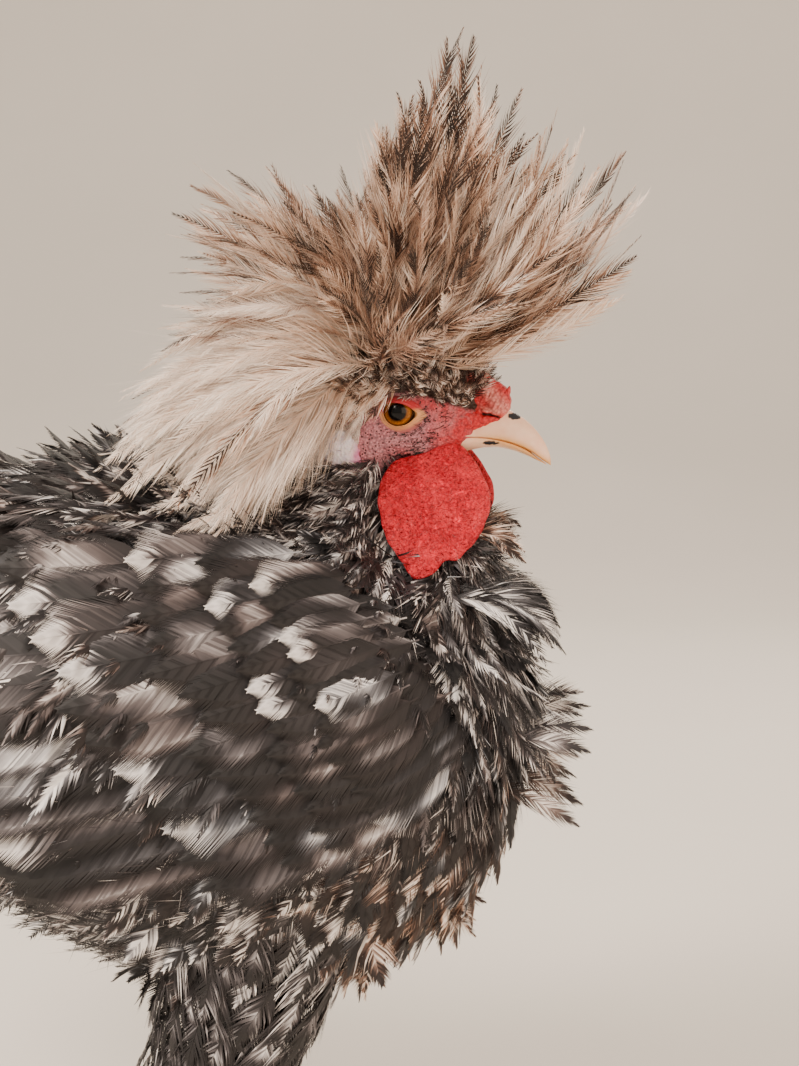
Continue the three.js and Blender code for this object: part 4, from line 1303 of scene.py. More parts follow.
@dataclass(frozen=True)
class Wattle:
    """A hanging lobe, round with a notch, its outline as in the photo, thin at the edge and creased."""

    middle: tuple[float, float] = (12.0, -32.0)  # forward and up from the eye
    thickness: float = 2.7
    # reach from the middle every 15 degrees, from straight ahead, turning upwards
    reach: tuple[float, ...] = (
        17.9, 18.7, 19.3, 19.7, 21.5, 22.9, 20.0, 18.9, 19.8, 20.6, 19.9, 18.4,
        17.2, 16.9, 16.9, 17.5, 18.6, 21.0, 19.4, 15.6, 16.8, 16.3, 16.5, 17.0,
    )

    def build(self, sign: float) -> Shell:
        """The lobe: both faces out to the outline, bent outwards below, with grainy wrinkles."""
        around, across = 200, 44
        turn = circle(around)
        reach = smooth(np.array(self.reach + self.reach[:1]), turn / (2 * math.pi))
        reach = reach * (1 + 0.008 * np.sin(turn * 9) + 0.006 * np.sin(turn * 17 + 1))
        fall = np.linspace(0, math.pi, 2 * across + 2)[1:-1]
        f, a = np.meshgrid(fall, turn, indexing="ij")
        share = np.sin(f) ** 0.8
        x = self.middle[0] + share * reach[None] * np.cos(a)
        z = self.middle[1] + share * reach[None] * np.sin(a)
        depth = np.sign(np.cos(f)) * np.abs(np.cos(f)) ** 0.7 * self.thickness
        flat = xyz(x, 0, z)
        crease = 0.9 * np.exp(-(((z + 17.5 + 0.1 * x) / 1.3) ** 2)) * step_between(-2, 5, x)
        crease *= 1 - step_between(14, 20, x)
        crease += 0.8 * np.exp(-(((x - 22.5 + 0.2 * (z + 15)) / 1.0) ** 2)) * step_between(-26, -16, z)
        bend = 1.1 * np.sin((x - 4) * 0.16) + 0.8 * np.sin(z * 0.21 + 1.0)
        grain = 0.2 * waves(flat, 2.3, 5.0 + sign) + 0.14 * waves(flat, 1.2, 2.0)
        grain += 0.25 * waves(flat, 6.0, 3.0)
        thick = depth * (1 - 0.25 * crease) + np.sign(np.cos(f)) * grain * np.abs(np.cos(f)) ** 0.3
        y = wattle_plane(x, z) + bend - crease * 0.4 + thick
        shell = Shell.of_grid(by_eye(x, sign * y, z))
        if sign < 0:
            shell.flipped()
        return shell


@dataclass(frozen=True)
class Lobe:
    """An ear lobe: a low soft cushion behind the cheek."""

    def build(self, sign: float) -> Shell:
        """The cushion, a little lumpy, flushed along its front edge."""
        middle = (EYE_X - 18.3, sign * 16.8, EYE_Z - 16)
        grid, ray = ellipsoid(middle, (6.2, 3.0, 10.4), 60, 60)
        grid = grid + unit(ray) * (0.4 * waves(grid, 4.0, 3.0) + 0.15 * waves(grid, 1.6, 5.0))[..., None]
        shell = Shell.of_grid(grid)
        flush = step_between(0.15, 0.75, ray[..., 0] - 0.45 * ray[..., 2] - 0.15)
        shell.marks = {Mark.BLUSH: np.concatenate([flush.ravel(), [1.0, 0.0]])}
        return shell


# Plumage


@dataclass(frozen=True)
class Region:
    """A stretch of the trunk and how its feathers lie.

    Each size is drawn as low + more * d^power, from its three numbers and a draw d from 0 to 1.
    """

    x: tuple[float, float]
    turn: tuple[float, float]  # degrees from the back line
    count: int
    aim: tuple[float, float, float]  # forward, aside and up
    stray: float  # how far the aims differ
    length: tuple[float, float, float]
    width: tuple[float, float, float]
    curl: tuple[float, float, float]
    light: tuple[float, float, float]
    warm: tuple[float, float, float]


BACK = Region(
    (-128, 20), (0, 62), 620, (-1.0, 0.25, -0.12), 0.2,
    (32, 12, 1), (18, 6, 1), (3, 13, 2), (0.12, 0.46, 1.4), (0, 0.3, 1),
)
SADDLE = Region(
    (-138, -55), (0, 80), 190, (-0.9, 0.4, -0.4), 0.1,
    (62, 22, 1), (8.5, 3, 1), (4, 8, 1), (0.25, 0.5, 1), (0, 0.15, 1),
)
BELLY = Region(
    (-140, 40), (88, 179), 620, (-0.9, 0.1, -0.35), 0.22,
    (28, 10, 1), (17, 6, 1), (3, 6, 1), (0.25, 0.35, 1), (0, 0.25, 1),
)


class Coat:
    """Lays out the plumage, region by region, and builds it."""

    def __init__(self, frame: Frame) -> None:
        """Makes the feather finishes."""
        self.frame = frame
        self.form = Form()
        self.body = FeatherFinish("body_feather", 0.6, 0.04).material
        self.crest = FeatherFinish("crest_feather", 0.7, 0.1).material

    def piece(self, name: str, shells: Sequence[Shell], crest: bool, nodes: Sequence[str] = ()) -> None:
        """Joins a region's batches into one object."""
        material = self.crest if crest else self.body
        slot = "crest_plumage" if crest else "plumage"
        self.frame.piece(name, Shell.joined(shells), material, slot, nodes, flat=True)

    # The crest

    # reach of the crest from the knob, for directions from 30 degrees above straight ahead, over
    # the top, to 240 degrees, down the nape
    crest_reach = (91.0, 99.0, 92.0, 101.0, 80.0, 64.0, 76.0, 84.0, 78.0, 70.0, 80.0, 96.0, 99.0, 90.0, 62.0)

    def crest_layout(self, count: int, rng: Draws) -> tuple[Floats, Floats, Floats]:
        """Roots, tips and outward directions of the crest's feathers.

        Roots stand at golden-angle places on a cap over the knob that leans back. A tip's direction
        turns with its root's, and its reach is read from `crest_reach`.

        Args:
            count: how many feathers.
            rng: the seeded draws.

        Returns:
            Roots, tips and the cap's outward unit vectors.
        """
        k = np.arange(count)
        fall = np.radians(104 * np.sqrt((k + 0.5) / count))
        turn = GOLDEN_TURN * k
        ahead = np.sin(fall) * np.cos(turn) - 0.2
        normal = unit(xyz(ahead, np.sin(fall) * np.sin(turn), np.cos(fall) + 0.14))
        pad = np.array([18.5, 15.0, 13.5])
        roots = KNOB + np.array([-3.0, 0.0, 1.0]) + normal * pad
        around = np.degrees(np.arctan2(normal[:, 2] + 0.05, normal[:, 0]))
        around = np.where(around < -60, around + 360, around)
        lean = np.interp(around, [-20, 0, 45, 90, 135, 180, 210, 240], [26, 33, 57, 90, 146, 196, 226, 242])
        lean = lean + 7 * rng.standard_normal(count)
        sideways = np.radians(66) * normal[:, 1] * (1 + 0.15 * rng.standard_normal(count))
        reach = smooth(self.crest_reach, (lean - 30) / 210) * (1 - 0.3 * rng.random(count) ** 1.6)
        reach = 1.05 * reach * (1 + 0.05 * rng.standard_normal(count))
        in_plane = xyz(np.cos(np.radians(lean)), 0, np.sin(np.radians(lean)))
        tips = KNOB + in_plane * (reach * np.clip(np.cos(sideways), 0, 1) ** 0.6)[:, None]
        tips[:, 1] += 64 * np.sin(sideways)
        tips[:, 2] -= 16 * np.abs(np.sin(sideways)) ** 2
        tips[:, 0] -= 14 * np.abs(np.sin(sideways)) ** 2
        return roots, tips, normal

    def build_crest(self, rng: Draws) -> None:
        """The crest: lax pointed feathers that leave the knob outwards and bend to their tips."""
        count = 470
        roots, tips, normal = self.crest_layout(count, rng)
        spread = np.linalg.norm(tips - roots, axis=1)[:, None]
        knee = roots + unit(normal + np.array([0, 0, 0.35])) * spread * 0.5
        knee = knee + 0.07 * spread * rng.standard_normal((count, 3))
        paths = arched(roots, knee, tips, 10)
        paths[:, 1:] = self.form.lift(paths[:, 1:], 9.0)
        faces = strewn(normal, 0.6, rng)
        widths = 12.0 + 5.0 * rng.random(count)
        behind = np.clip((KNOB[0] - 10 - tips[:, 0]) / 14, 0, 1)
        behind = behind * np.clip((KNOB[2] + 30 - tips[:, 2]) / 16, 0, 1)
        cream = behind > 0.5 + 0.3 * rng.standard_normal(count)
        light = np.where(cream, 0.95 + 0.05 * rng.random(count), 0.64 + 0.3 * rng.random(count))
        plumes = Plumes(paths, faces, widths, light, 0.92 + 0.08 * rng.random(count))
        lax = Vane(44, POINTED, lean=19, cover=0.62, fray=0.35, droop=0.3, shaft=0.5, start=0.1, clump=0.22)
        top = feathers(plumes.take(~cream), lax, crested, rng)
        hair = Vane(54, POINTED, lean=15, cover=0.55, fray=0.4, droop=0.4, shaft=0.45, start=0.08, clump=0.3)
        back = feathers(plumes.take(cream), hair, silky, rng)
        self.piece("crest_top", [top], True, ["crest"])
        self.piece("crest_back", [back, self.crest_fall(hair, rng)], True)

    def crest_fall(self, vane: Vane, rng: Draws) -> Shell:
        """The crest's white fall: long lax feathers from the head's rear and sides down over the nape."""
        count = 290
        k = np.arange(count)
        side = alternate(count)
        share = ((k + 0.5) * 0.6180339887) % 1.0
        lean = np.radians(182 + 60 * share + 4 * rng.standard_normal(count))
        reach = smooth(self.crest_reach, (np.degrees(lean) - 30) / 210) * (0.66 + 0.34 * rng.random(count))
        aside = side * (12 + 26 * rng.random(count) + 18 * share * (1 - 0.6 * step_between(0.8, 1, share)))
        normal = unit(xyz(-0.8 + 0.75 * share, side * (0.3 + 0.7 * share), 0.5 - 0.75 * share))
        roots = KNOB + np.array([-5.0, 0.0, 0.0]) + normal * np.array([17.0, 14.5, 13.5])
        tips = KNOB + xyz(np.cos(lean) * reach, aside, np.sin(lean) * reach)
        far = np.linalg.norm(tips - roots, axis=1)[:, None]
        knee = roots + unit(0.75 * normal + unit(tips - roots)) * far * 0.5
        knee = knee + 0.05 * far * rng.standard_normal((count, 3))
        paths = arched(roots, knee, tips, 10)
        paths[:, 2:] = self.form.lift(paths[:, 2:], 8.0)
        ahead, high = paths[..., 0] - EYE_X, paths[..., 2] - EYE_Z
        over_lobe = np.any((high < -2) & (high > -46) & (ahead > -24.5 + 0.06 * high), axis=1)
        keep = ~over_lobe | (rng.random(count) > 0.93)
        out = strewn(xyz(-0.2, side, 0.5), 0.35, rng)
        width = 11 + 5 * rng.random(count)
        light = 0.95 + 0.05 * rng.random(count)
        plumes = Plumes(paths, out, width, light, 0.85 + 0.15 * rng.random(count))
        return feathers(plumes.take(keep), vane, silky, rng)

    def build_brow(self, rng: Draws) -> None:
        """Short feathers on the head: mottled over the brow, buff with dark barbs on the temple."""
        count = 760
        k = np.arange(count)
        x = 24 - 44 * ((k + 0.5) / count)
        side = alternate(count)
        edge = np.interp(x, [-20, -5, 4, 12, 17, 21, 24], [3.0, 5.6, 5.4, 4.0, 2.2, 0.8, 2.0])
        up = edge + (19 - 0.25 * x - edge) * ((k * 0.618) % 1.0) ** 1.3
        y, up = SKIN.beside(x, up)
        roots = by_eye(x, side * (y - 0.3), up)
        out = unit(xyz(0.25 * step_between(8, 24, x), side, 0.4 + 0.05 * up))
        aims = xyz(-0.55 + 0.5 * step_between(8, 22, x), side * 0.2, 0.6 + 0.02 * up)
        aims = strewn(aims, 0.38, rng)
        length = (7 + 0.5 * (up - edge) + 6 * rng.random(count)) * (1 - 0.35 * step_between(-2, 0, edge - up))
        s = shares(6)
        bend = np.array([0, 0, -1.0]) * (3.5 * rng.random(count))[:, None]
        paths = straight(roots, aims, length, 6)
        paths = paths + out[:, None] * (3.4 * s * (1 - 0.3 * s)) + bend[:, None] * s**2
        light = 0.5 + 0.45 * rng.random(count)
        faces = strewn(out, 0.3, rng)
        width = 4.2 + 2.4 * rng.random(count)
        plumes = Plumes(paths, faces, width, light, 0.35 + 0.6 * rng.random(count))
        small = Vane(16, POINTED, lean=27, cover=0.75, fray=0.35, droop=0.3, shaft=0.25, clump=0.2)
        shells = [feathers(plumes, small, mottled, rng)]
        shells += [self.temple(rng), self.ear_shell(rng), self.bristles(rng)]
        self.piece("brow_feathers", shells, True)

    def temple(self, rng: Draws) -> Shell:
        """Buff feathers with dark slanting barbs, from above the eye back and down to the ear."""
        count = 240
        k = np.arange(count)
        side = alternate(count)
        x = 1 - 27 * ((k + 0.5) / count)
        up = 6.5 + 13 * ((k * SPREAD_ALONG) % 1.0) - 0.35 * np.clip(-x - 6, 0, None)
        y = 14.8 * np.sqrt(np.clip(1 - ((up - 1) / 26) ** 2, 0.1, 1)) + 1.2
        roots = by_eye(x, side * y, up)
        fall = np.radians(205 + 32 * rng.random(count))
        aims = unit(xyz(np.cos(fall), side * (0.12 + 0.12 * rng.random(count)), np.sin(fall)))
        length = 13 + 10 * rng.random(count)
        s = shares(7)
        out = unit(xyz(0, side, 0.3))
        paths = straight(roots, aims, length, 7) + out[:, None] * (5.0 * s * (1 - 0.6 * s))
        faces = strewn(out, 0.2, rng)
        width = 5 + 2 * rng.random(count)
        light = 0.8 + 0.16 * rng.random(count)
        plumes = Plumes(paths, faces, width, light, 0.95 * np.ones(count))
        vane = Vane(20, POINTED, lean=22, cover=0.75, fray=0.3, shaft=0.25, clump=0.2)
        return feathers(plumes, vane, crested, rng)

    def ear_shell(self, rng: Draws) -> Shell:
        """Pale lax feathers over the ear, growing back and down."""
        count = 220
        x = -11 - 17 * rng.random(count)
        up = 5 - 11 * rng.random(count) - 12 * step_between(21, 26, -x) * rng.random(count)
        side = alternate(count)
        roots = xyz(EYE_X + x, side * (15.5 + 0.03 * (x + 20)), EYE_Z + up - 4)
        back = -0.45 + 0.25 * rng.random(count)
        aims = unit(xyz(back, side * 0.15, -0.75 + 0.25 * rng.random(count)))
        length = 8 + 7 * rng.random(count)
        s = shares(6)
        out = xyz(0.0, side, 0.0)
        paths = straight(roots, aims, length, 6) + out[:, None] * (1.6 * s)
        light = 0.85 + 0.1 * rng.random(count)
        plumes = Plumes(paths, out, 2.2 + rng.random(count), light, 0.35 + 0.3 * rng.random(count))
        return feathers(plumes, Vane(12, POINTED, lean=16, cover=0.45, fray=0.35, shaft=0.2), silky, rng)

    def bristles(self, rng: Draws) -> Shell:
        """Fine black bristles on lores and cheeks."""
        count = 900
        x = -16 + 34 * rng.random(count)
        up = -14 + 17 * rng.random(count) - 0.1 * x
        side = alternate(count)
        keep = np.hypot(x - 1, up * 1.2) > 7.5
        y, up = SKIN.beside(x, up)
        roots = by_eye(x, side * (y - 0.1), up)[keep]
        side = side[keep]
        number = len(roots)
        out = xyz(0.0, side, 0.0)
        aims = unit(xyz(-0.8, side * 0.35, -0.25 + 0.3 * rng.standard_normal(number)))
        paths = straight(roots, aims, 1.6 + 1.6 * rng.random(number), 4)
        plumes = Plumes(paths, out, np.full(number, 0.5), np.full(number, 0.05), np.full(number, 0.3))
        return feathers(plumes, Vane(2, POINTED, lean=18, cover=0.15, shaft=0.22), mottled, rng)

    # The neck and the body

    def build_hackle(self, rng: Draws) -> None:
        """Neck feathers: short and nearly level under the ears, longer and swept down over the shoulders."""
        shells = []
        for count, low, high, barbs in ((780, 0.0, 0.42, 16), (560, 0.32, 1.0, 30)):
            k = np.arange(count)
            down = low + (high - low) * ((k + 0.5) / count) ** 0.9
            z = 337 - 66 * down
            turn = GOLDEN_TURN * k
            roots = self.form.neck_points(z, turn)
            roots = roots - self.form.heights(roots)[1] * 3
            ahead = np.clip(np.cos(turn), 0, 1)
            back = -0.95 + 0.9 * ahead + 0.3 * down
            aims = xyz(back, 0.3 * np.sin(turn), -0.3 - 0.55 * down - 0.8 * ahead)
            aims = strewn(aims, 0.2, rng)
            length = (14 + 44 * down**1.1) * (1 - 0.25 * ahead) * (0.85 + 0.35 * rng.random(count))
            curl = 3 + 9 * rng.random(count) ** 2
            rise = np.stack([0 * curl - 2, 1.0 + 0 * curl, 2.5 + 0 * curl, 4 + 0.2 * curl, 4.5 + curl], 1)
            paths = self.form.drape(roots, aims, length, rise)
            _, out = self.form.heights(paths[:, 4])
            light = 0.3 + 0.55 * rng.random(count)
            width = 5.0 + 6.0 * down + 2 * rng.random(count)
            faces = strewn(out, 0.3, rng)
            plumes = Plumes(paths, faces, width, light, 0.05 + 0.25 * rng.random(count) ** 2)
            vane = Vane(barbs, POINTED, lean=24, cover=0.85, fray=0.28, droop=0.3, shaft=0.35, clump=0.2)
            plumes.paths = tuck(plumes.paths, 4.0)
            shells.append(feathers(plumes, vane, streaked, rng))
        self.piece("hackle", shells, False, ["neck"])

    def trunk_batch(
        self, low: float, high: float, count: int, first: float, last: float, rng: Draws
    ) -> tuple[Floats, Floats, Floats]:
        """Golden-angle places on a stretch of the trunk."""
        k = np.arange(count)
        x = low + (high - low) * (((k + 0.5) * SPREAD_ALONG) % 1.0)
        share = ((k + 0.5) * SPREAD_ROUND) % 1.0
        turn = np.radians(first + (last - first) * share) * alternate(count)
        turn = turn + 0.05 * rng.standard_normal(count)
        order = np.argsort(x)
        return self.form.trunk_points(x[order], turn[order]), x[order], turn[order]

    def body_batch(
        self,
        roots: Floats,
        aims: Floats,
        length: Floats,
        width: Floats,
        curl: Floats,
        light: Floats,
        warm: Floats,
        vane: Vane,
        pattern: Pattern,
        rng: Draws,
    ) -> Shell:
        """Feathers draped over the body."""
        _, out = self.form.heights(roots)
        curl = curl * (1 - 0.85 * out[:, 1] ** 2)
        zero = np.zeros_like(curl)
        rise = np.stack([zero - 4, zero - 1.5, zero + 0.5, zero + 2 + 0.25 * curl, zero + 2.5 + curl], 1)
        paths = self.form.drape(roots - out * 5, aims, length, rise)
        _, out = self.form.heights(paths[:, 5])
        faces = strewn(out, 0.22, rng)
        return feathers(Plumes(tuck(paths, 4.0), faces, width, light, warm), vane, pattern, rng)

    def build_body(self, rng: Draws) -> None:
        """The breast, back, flanks and belly, each with its own size, lie and curl."""
        broad = Vane(36, ROUNDED, lean=32, cover=1.25, fray=0.08, droop=0.25, shaft=0.4, clump=0.06)
        fluffy = Vane(30, ROUNDED, lean=28, cover=0.8, fray=0.35, droop=0.3, shaft=0.35, clump=0.2)

        for name, side in SIDES.items():
            roots, x, turn = self.trunk_batch(2, 99, 560, 4, 178, rng)
            turn = side * np.abs(turn)
            roots[:, 1] = side * np.abs(roots[:, 1])
            n = len(x)
            sunk = np.clip(1 - np.abs(turn) / math.pi, 0, 1)
            aims = strewn(xyz(-0.4 - 0.3 * sunk, 0.22 * np.sin(turn), -0.85), 0.24, rng)
            low_front = np.clip((np.abs(turn) - 1.1) / 1.4, 0, 1) * step_between(30, 80, x)
            warm = np.clip(low_front * 0.9 * (rng.random(n) > 0.3) + 0.25 * rng.random(n) ** 2, 0, 1)
            breast = self.body_batch(
                roots, aims, 30 + 10 * rng.random(n), 16 + 6 * rng.random(n), 2 + 9 * rng.random(n) ** 2,
                0.2 + 0.5 * rng.random(n) ** 1.2 + 0.15 * warm, warm, broad, mottled, rng,
            )
            nodes = ["torso"] if side < 0 else []
            self.piece(f"breast_feathers_{name}", [breast, self.curls(side, rng)], False, nodes)

        narrow = Vane(40, POINTED, lean=23, cover=0.95, fray=0.18, droop=0.3, shaft=0.45, clump=0.12)
        back = self.region(BACK, broad, mottled, rng)
        saddle = self.region(SADDLE, narrow, streaked, rng)
        self.piece("back_feathers", [back, saddle], False)
        self.piece("belly_feathers", [self.region(BELLY, fluffy, mottled, rng)], False)

    def region(self, region: Region, vane: Vane, pattern: Pattern, rng: Draws) -> Shell:
        """One region's feathers, draped over the trunk."""
        roots, x, turn = self.trunk_batch(*region.x, region.count, *region.turn, rng)
        ahead, aside, up = region.aim
        aims = strewn(xyz(ahead + 0 * x, aside * np.sin(turn), up), region.stray, rng)
        sizes = [
            low + more * rng.random(len(x)) ** power
            for low, more, power in (region.length, region.width, region.curl, region.light, region.warm)
        ]
        return self.body_batch(roots, aims, *sizes, vane, pattern, rng)

    # each curled group on the throat and breast: how many, its root and its tip forward and up from
    # the eye, how far it arches up, a feather's width, paleness and warmth
    curled = (
        (5, (18, -40), (40, -46), 7.0, 7.0, 0.5, 0.7),
        (7, (16, -58), (50, -74), 13.0, 10.0, 0.75, 0.05),
        (3, (34, -104), (62, -103), 3.0, 8.0, 0.85, 0.15),
        (3, (30, -118), (60, -127), 3.0, 9.0, 1.0, 0.35),
        (8, (22, -112), (34, -134), 6.0, 9.0, 0.8, 0.9),
        (3, (8, -158), (28, -168), 2.0, 7.0, 0.95, 0.7),
    )

    def curls(self, sign: float, rng: Draws) -> Shell:
        """Loose feathers that stand off the throat and the breast and curl over at their tips."""
        rows = [row for row in self.curled for _ in range(row[0])]
        count = len(rows)
        root = np.array([[EYE_X + r[1][0], 0, EYE_Z + r[1][1]] for r in rows], float)
        tip = np.array([[EYE_X + r[2][0], 0, EYE_Z + r[2][1]] for r in rows], float)
        arch, width, pale, warm = (np.array([r[k] for r in rows], float) for k in (3, 4, 5, 6))
        y = sign * (4 + 26 * rng.random(count))
        root[:, 1], tip[:, 1] = y, y * 1.15
        jitter = rng.standard_normal((count, 3)) * np.array([1.6, 2.0, 3.2])
        knee = (root + tip) / 2 + xyz(0.35 * arch, 0, arch) + jitter * 0.6
        paths = arched(root, knee, tip + jitter, 10)
        out = strewn(xyz(np.full(count, 0.25), sign, 0.5), 0.3, rng)
        paths = tuck(paths, 4.0)
        width = width * (0.9 + 0.3 * rng.random(count))
        plumes = Plumes(paths, out, width, pale * (0.8 + 0.2 * rng.random(count)), warm)
        soft = Vane(40, ROUNDED, lean=22, cover=1.0, fray=0.2, droop=0.35, shaft=0.4, clump=0.15)
        return feathers(plumes, soft, mottled, rng)

    # Thighs

    def build_thighs(self, rng: Draws) -> None:
        """Soft feathers down each thigh to the hock."""
        shells = []
        # x, z, half-width and half-depth from the hip down
        stops = np.array(
            [[22, 200, 24, 36], [12, 156, 20, 29], [-4, 124, 12.5, 17.5], [-12, 103, 7.5, 8.5]], float
        )
        for sign in SIDES.values():
            count = 300
            k = np.arange(count)
            v = ((k + 0.5) / count) ** 0.85
            turn = GOLDEN_TURN * k
            line = smooth(stops, v)
            across = np.stack([np.cos(turn) * (line[:, 3] - 4), np.sin(turn) * (line[:, 2] - 4)], -1)
            roots = xyz(line[:, 0] + across[:, 0], sign * 40 + across[:, 1], line[:, 1])
            out = unit(xyz(np.cos(turn), np.sin(turn), 0.2))
            aims = strewn(xyz(np.full(count, -0.32), 0, -1), 0.1, rng)
            length = 26 - 10 * v
            s = shares(8)
            inward = -0.35 * out * np.array([1, 1, 0])
            paths = roots[:, None] + (aims + 0.5 * inward)[:, None] * length[:, None, None] * s
            paths = paths + out[:, None] * (7.5 * s * (1 - 0.55 * s))
            light = 0.2 + 0.4 * rng.random(count) ** 1.3
            plumes = Plumes(paths, out, 15 - 5 * v + 2 * rng.random(count), light, 0.1 * np.ones(count))
            vane = Vane(22, ROUNDED, lean=30, cover=1.05, fray=0.25, droop=0.3, shaft=0.35, clump=0.15)
            shells.append(feathers(plumes, vane, mottled, rng))
        self.piece("thigh_feathers", shells, False, ["thigh_right", "thigh_left"])

    # Wings

    # each tier: how many, where the first and the last root (x, z), first and last length, first and
    # last drop, height over the flank and width
    wing_tiers = (
        (7, (-30, 270), (10, 244), (126, 114), (0.05, 0.12), 3.0, 17.0),
        (12, (-34, 301), (36, 233), (80, 90), (0.05, 0.3), 5.6, 18.0),
        (11, (-6, 303), (54, 233), (48, 46), (0.08, 0.4), 8.6, 19.0),
        (13, (18, 303), (66, 238), (36, 34), (0.08, 0.45), 11.0, 17.0),
        (15, (34, 301), (74, 242), (30, 28), (0.08, 0.5), 12.0, 15.0),
        (15, (50, 295), (82, 246), (27, 25), (0.08, 0.5), 11.5, 14.0),
        (13, (64, 287), (88, 252), (25, 23), (0.08, 0.5), 8.5, 13.0),
    )

    def flank(self, sign: float, x: Floats, z: Floats, height: Floats) -> Floats:
        """Points at a height over the trunk's flank."""
        wide, high = self.form.trunk_sizes(x)
        u = np.clip(np.abs((x - TRUNK_X) / TRUNK_LENGTH), 0, 0.999)
        end = (1 - u**TRUNK_ROUND) ** (1 / TRUNK_ROUND)
        rise = np.clip((z - self.form.trunk_middle(x)) / (high * end), -0.94, 0.94)
        level = np.sqrt(1 - rise**2)
        out = unit(xyz(0, sign * level, rise * 0.8))
        return xyz(x, sign * wide * end * level, z) + out * height[..., None]

    def build_wing(self, name: str, sign: float, rng: Draws) -> None:
        """A folded wing: flight feathers, two rows of coverts and the small feathers of the shoulder."""
        shells = []
        for tier, (count, start, stop, length, drop, height, width) in enumerate(self.wing_tiers):
            share = np.linspace(0, 1, count)
            x = start[0] + (stop[0] - start[0]) * share
            z = start[1] + (stop[1] - start[1]) * share
            reach = (length[0] + (length[1] - length[0]) * share) * (1 + 0.06 * rng.standard_normal(count))
            fall = drop[0] + (drop[1] - drop[0]) * share
            s = np.linspace(0, 1, 10)[None, :]
            run = reach[:, None] * s
            over = height - 1.4 * share[:, None] + 3.4 * s - 2.0 + (1.5 * rng.random(count)[:, None] * s**4)
            paths = self.flank(sign, x[:, None] - run, z[:, None] - fall[:, None] * run, over)
            ahead = 0.1 * rng.standard_normal(count)
            faces = unit(xyz(ahead, sign, 0.35))
            light = 0.1 + 0.5 * rng.random(count) ** 1.2
            size = np.full(count, width * 1.2)
            plumes = Plumes(paths, faces, size, light, 0.2 * rng.random(count))
            barbs = 90 if tier < 2 else 56 if tier < 3 else 40
            outline, shaft = (BROAD, 0.9) if tier < 3 else (ROUNDED, 0.5)
            vane = Vane(barbs, outline, lean=33, cover=1.4, fray=0.04, droop=0.2, shaft=shaft)
            shells.append(feathers(plumes, vane, laced, rng))
        self.piece(f"wing_{name}_feathers", shells, False, [f"wing_{name}"])

    # Tail

    # each tier: how many a side, first and last rise in degrees, length, width, splay, first and last
    # y at the root, bend and x at the root
    tail_tiers = (
        (7, 57, 12, 142, 27, 0.16, (2, 11), -0.08, -150),
        (2, 74, 66, 254, 21, 0.12, (5, 7), -0.52, -146),
        (6, 68, 30, 178, 15, 0.2, (9, 17), -0.5, -142),
        (9, 58, 8, 96, 15, 0.34, (12, 24), -0.32, -138),
    )

    def build_tail(self, rng: Draws) -> None:
        """The tail: stiff tent feathers, sickles that arch over them, and coverts at its sides."""
        shells = []
        for sign in SIDES.values():
            for tier, (count, first, last, length, width, splay, y, bend, x) in enumerate(self.tail_tiers):
                share = np.linspace(0, 1, count)
                rise = np.radians(first + (last - first) * share + 2 * rng.standard_normal(count))
                aims = unit(xyz(-np.cos(rise), sign * splay * (0.3 + share), np.sin(rise)))
                aside = sign * (y[0] + (y[1] - y[0]) * share)
                roots = xyz(x + 6 * np.cos(rise), aside, 284 + 6 * np.sin(rise) - 4)
                reach = length * (1 - 0.12 * share) * (1 + 0.04 * rng.standard_normal(count))
                sag = np.array([0.55 * bend, 0.04 * sign, bend])
                s = shares(16)
                paths = roots[:, None] + aims[:, None] * reach[:, None, None] * s
                paths = paths + sag * reach[:, None, None] * s**2
                ahead = 0.05 * rng.standard_normal(count)
                faces = unit(xyz(ahead, sign, 0.12))
                light = 0.12 + (0.25 if tier in (0, 3) else 0.12) * rng.random(count)
                plumes = Plumes(paths, faces, np.full(count, float(width)), light, 0.08 * np.ones(count))
                barbs = (70, 110, 84, 48)[tier]
                outline = BROAD if tier == 0 else POINTED
                vane = Vane(barbs, outline, lean=36, cover=1.35, fray=0.07, droop=0.18, shaft=1.0)
                shells.append(feathers(plumes, vane, mottled, rng))
        self.piece("tail_feathers", shells, False, ["tail"])


# Legs


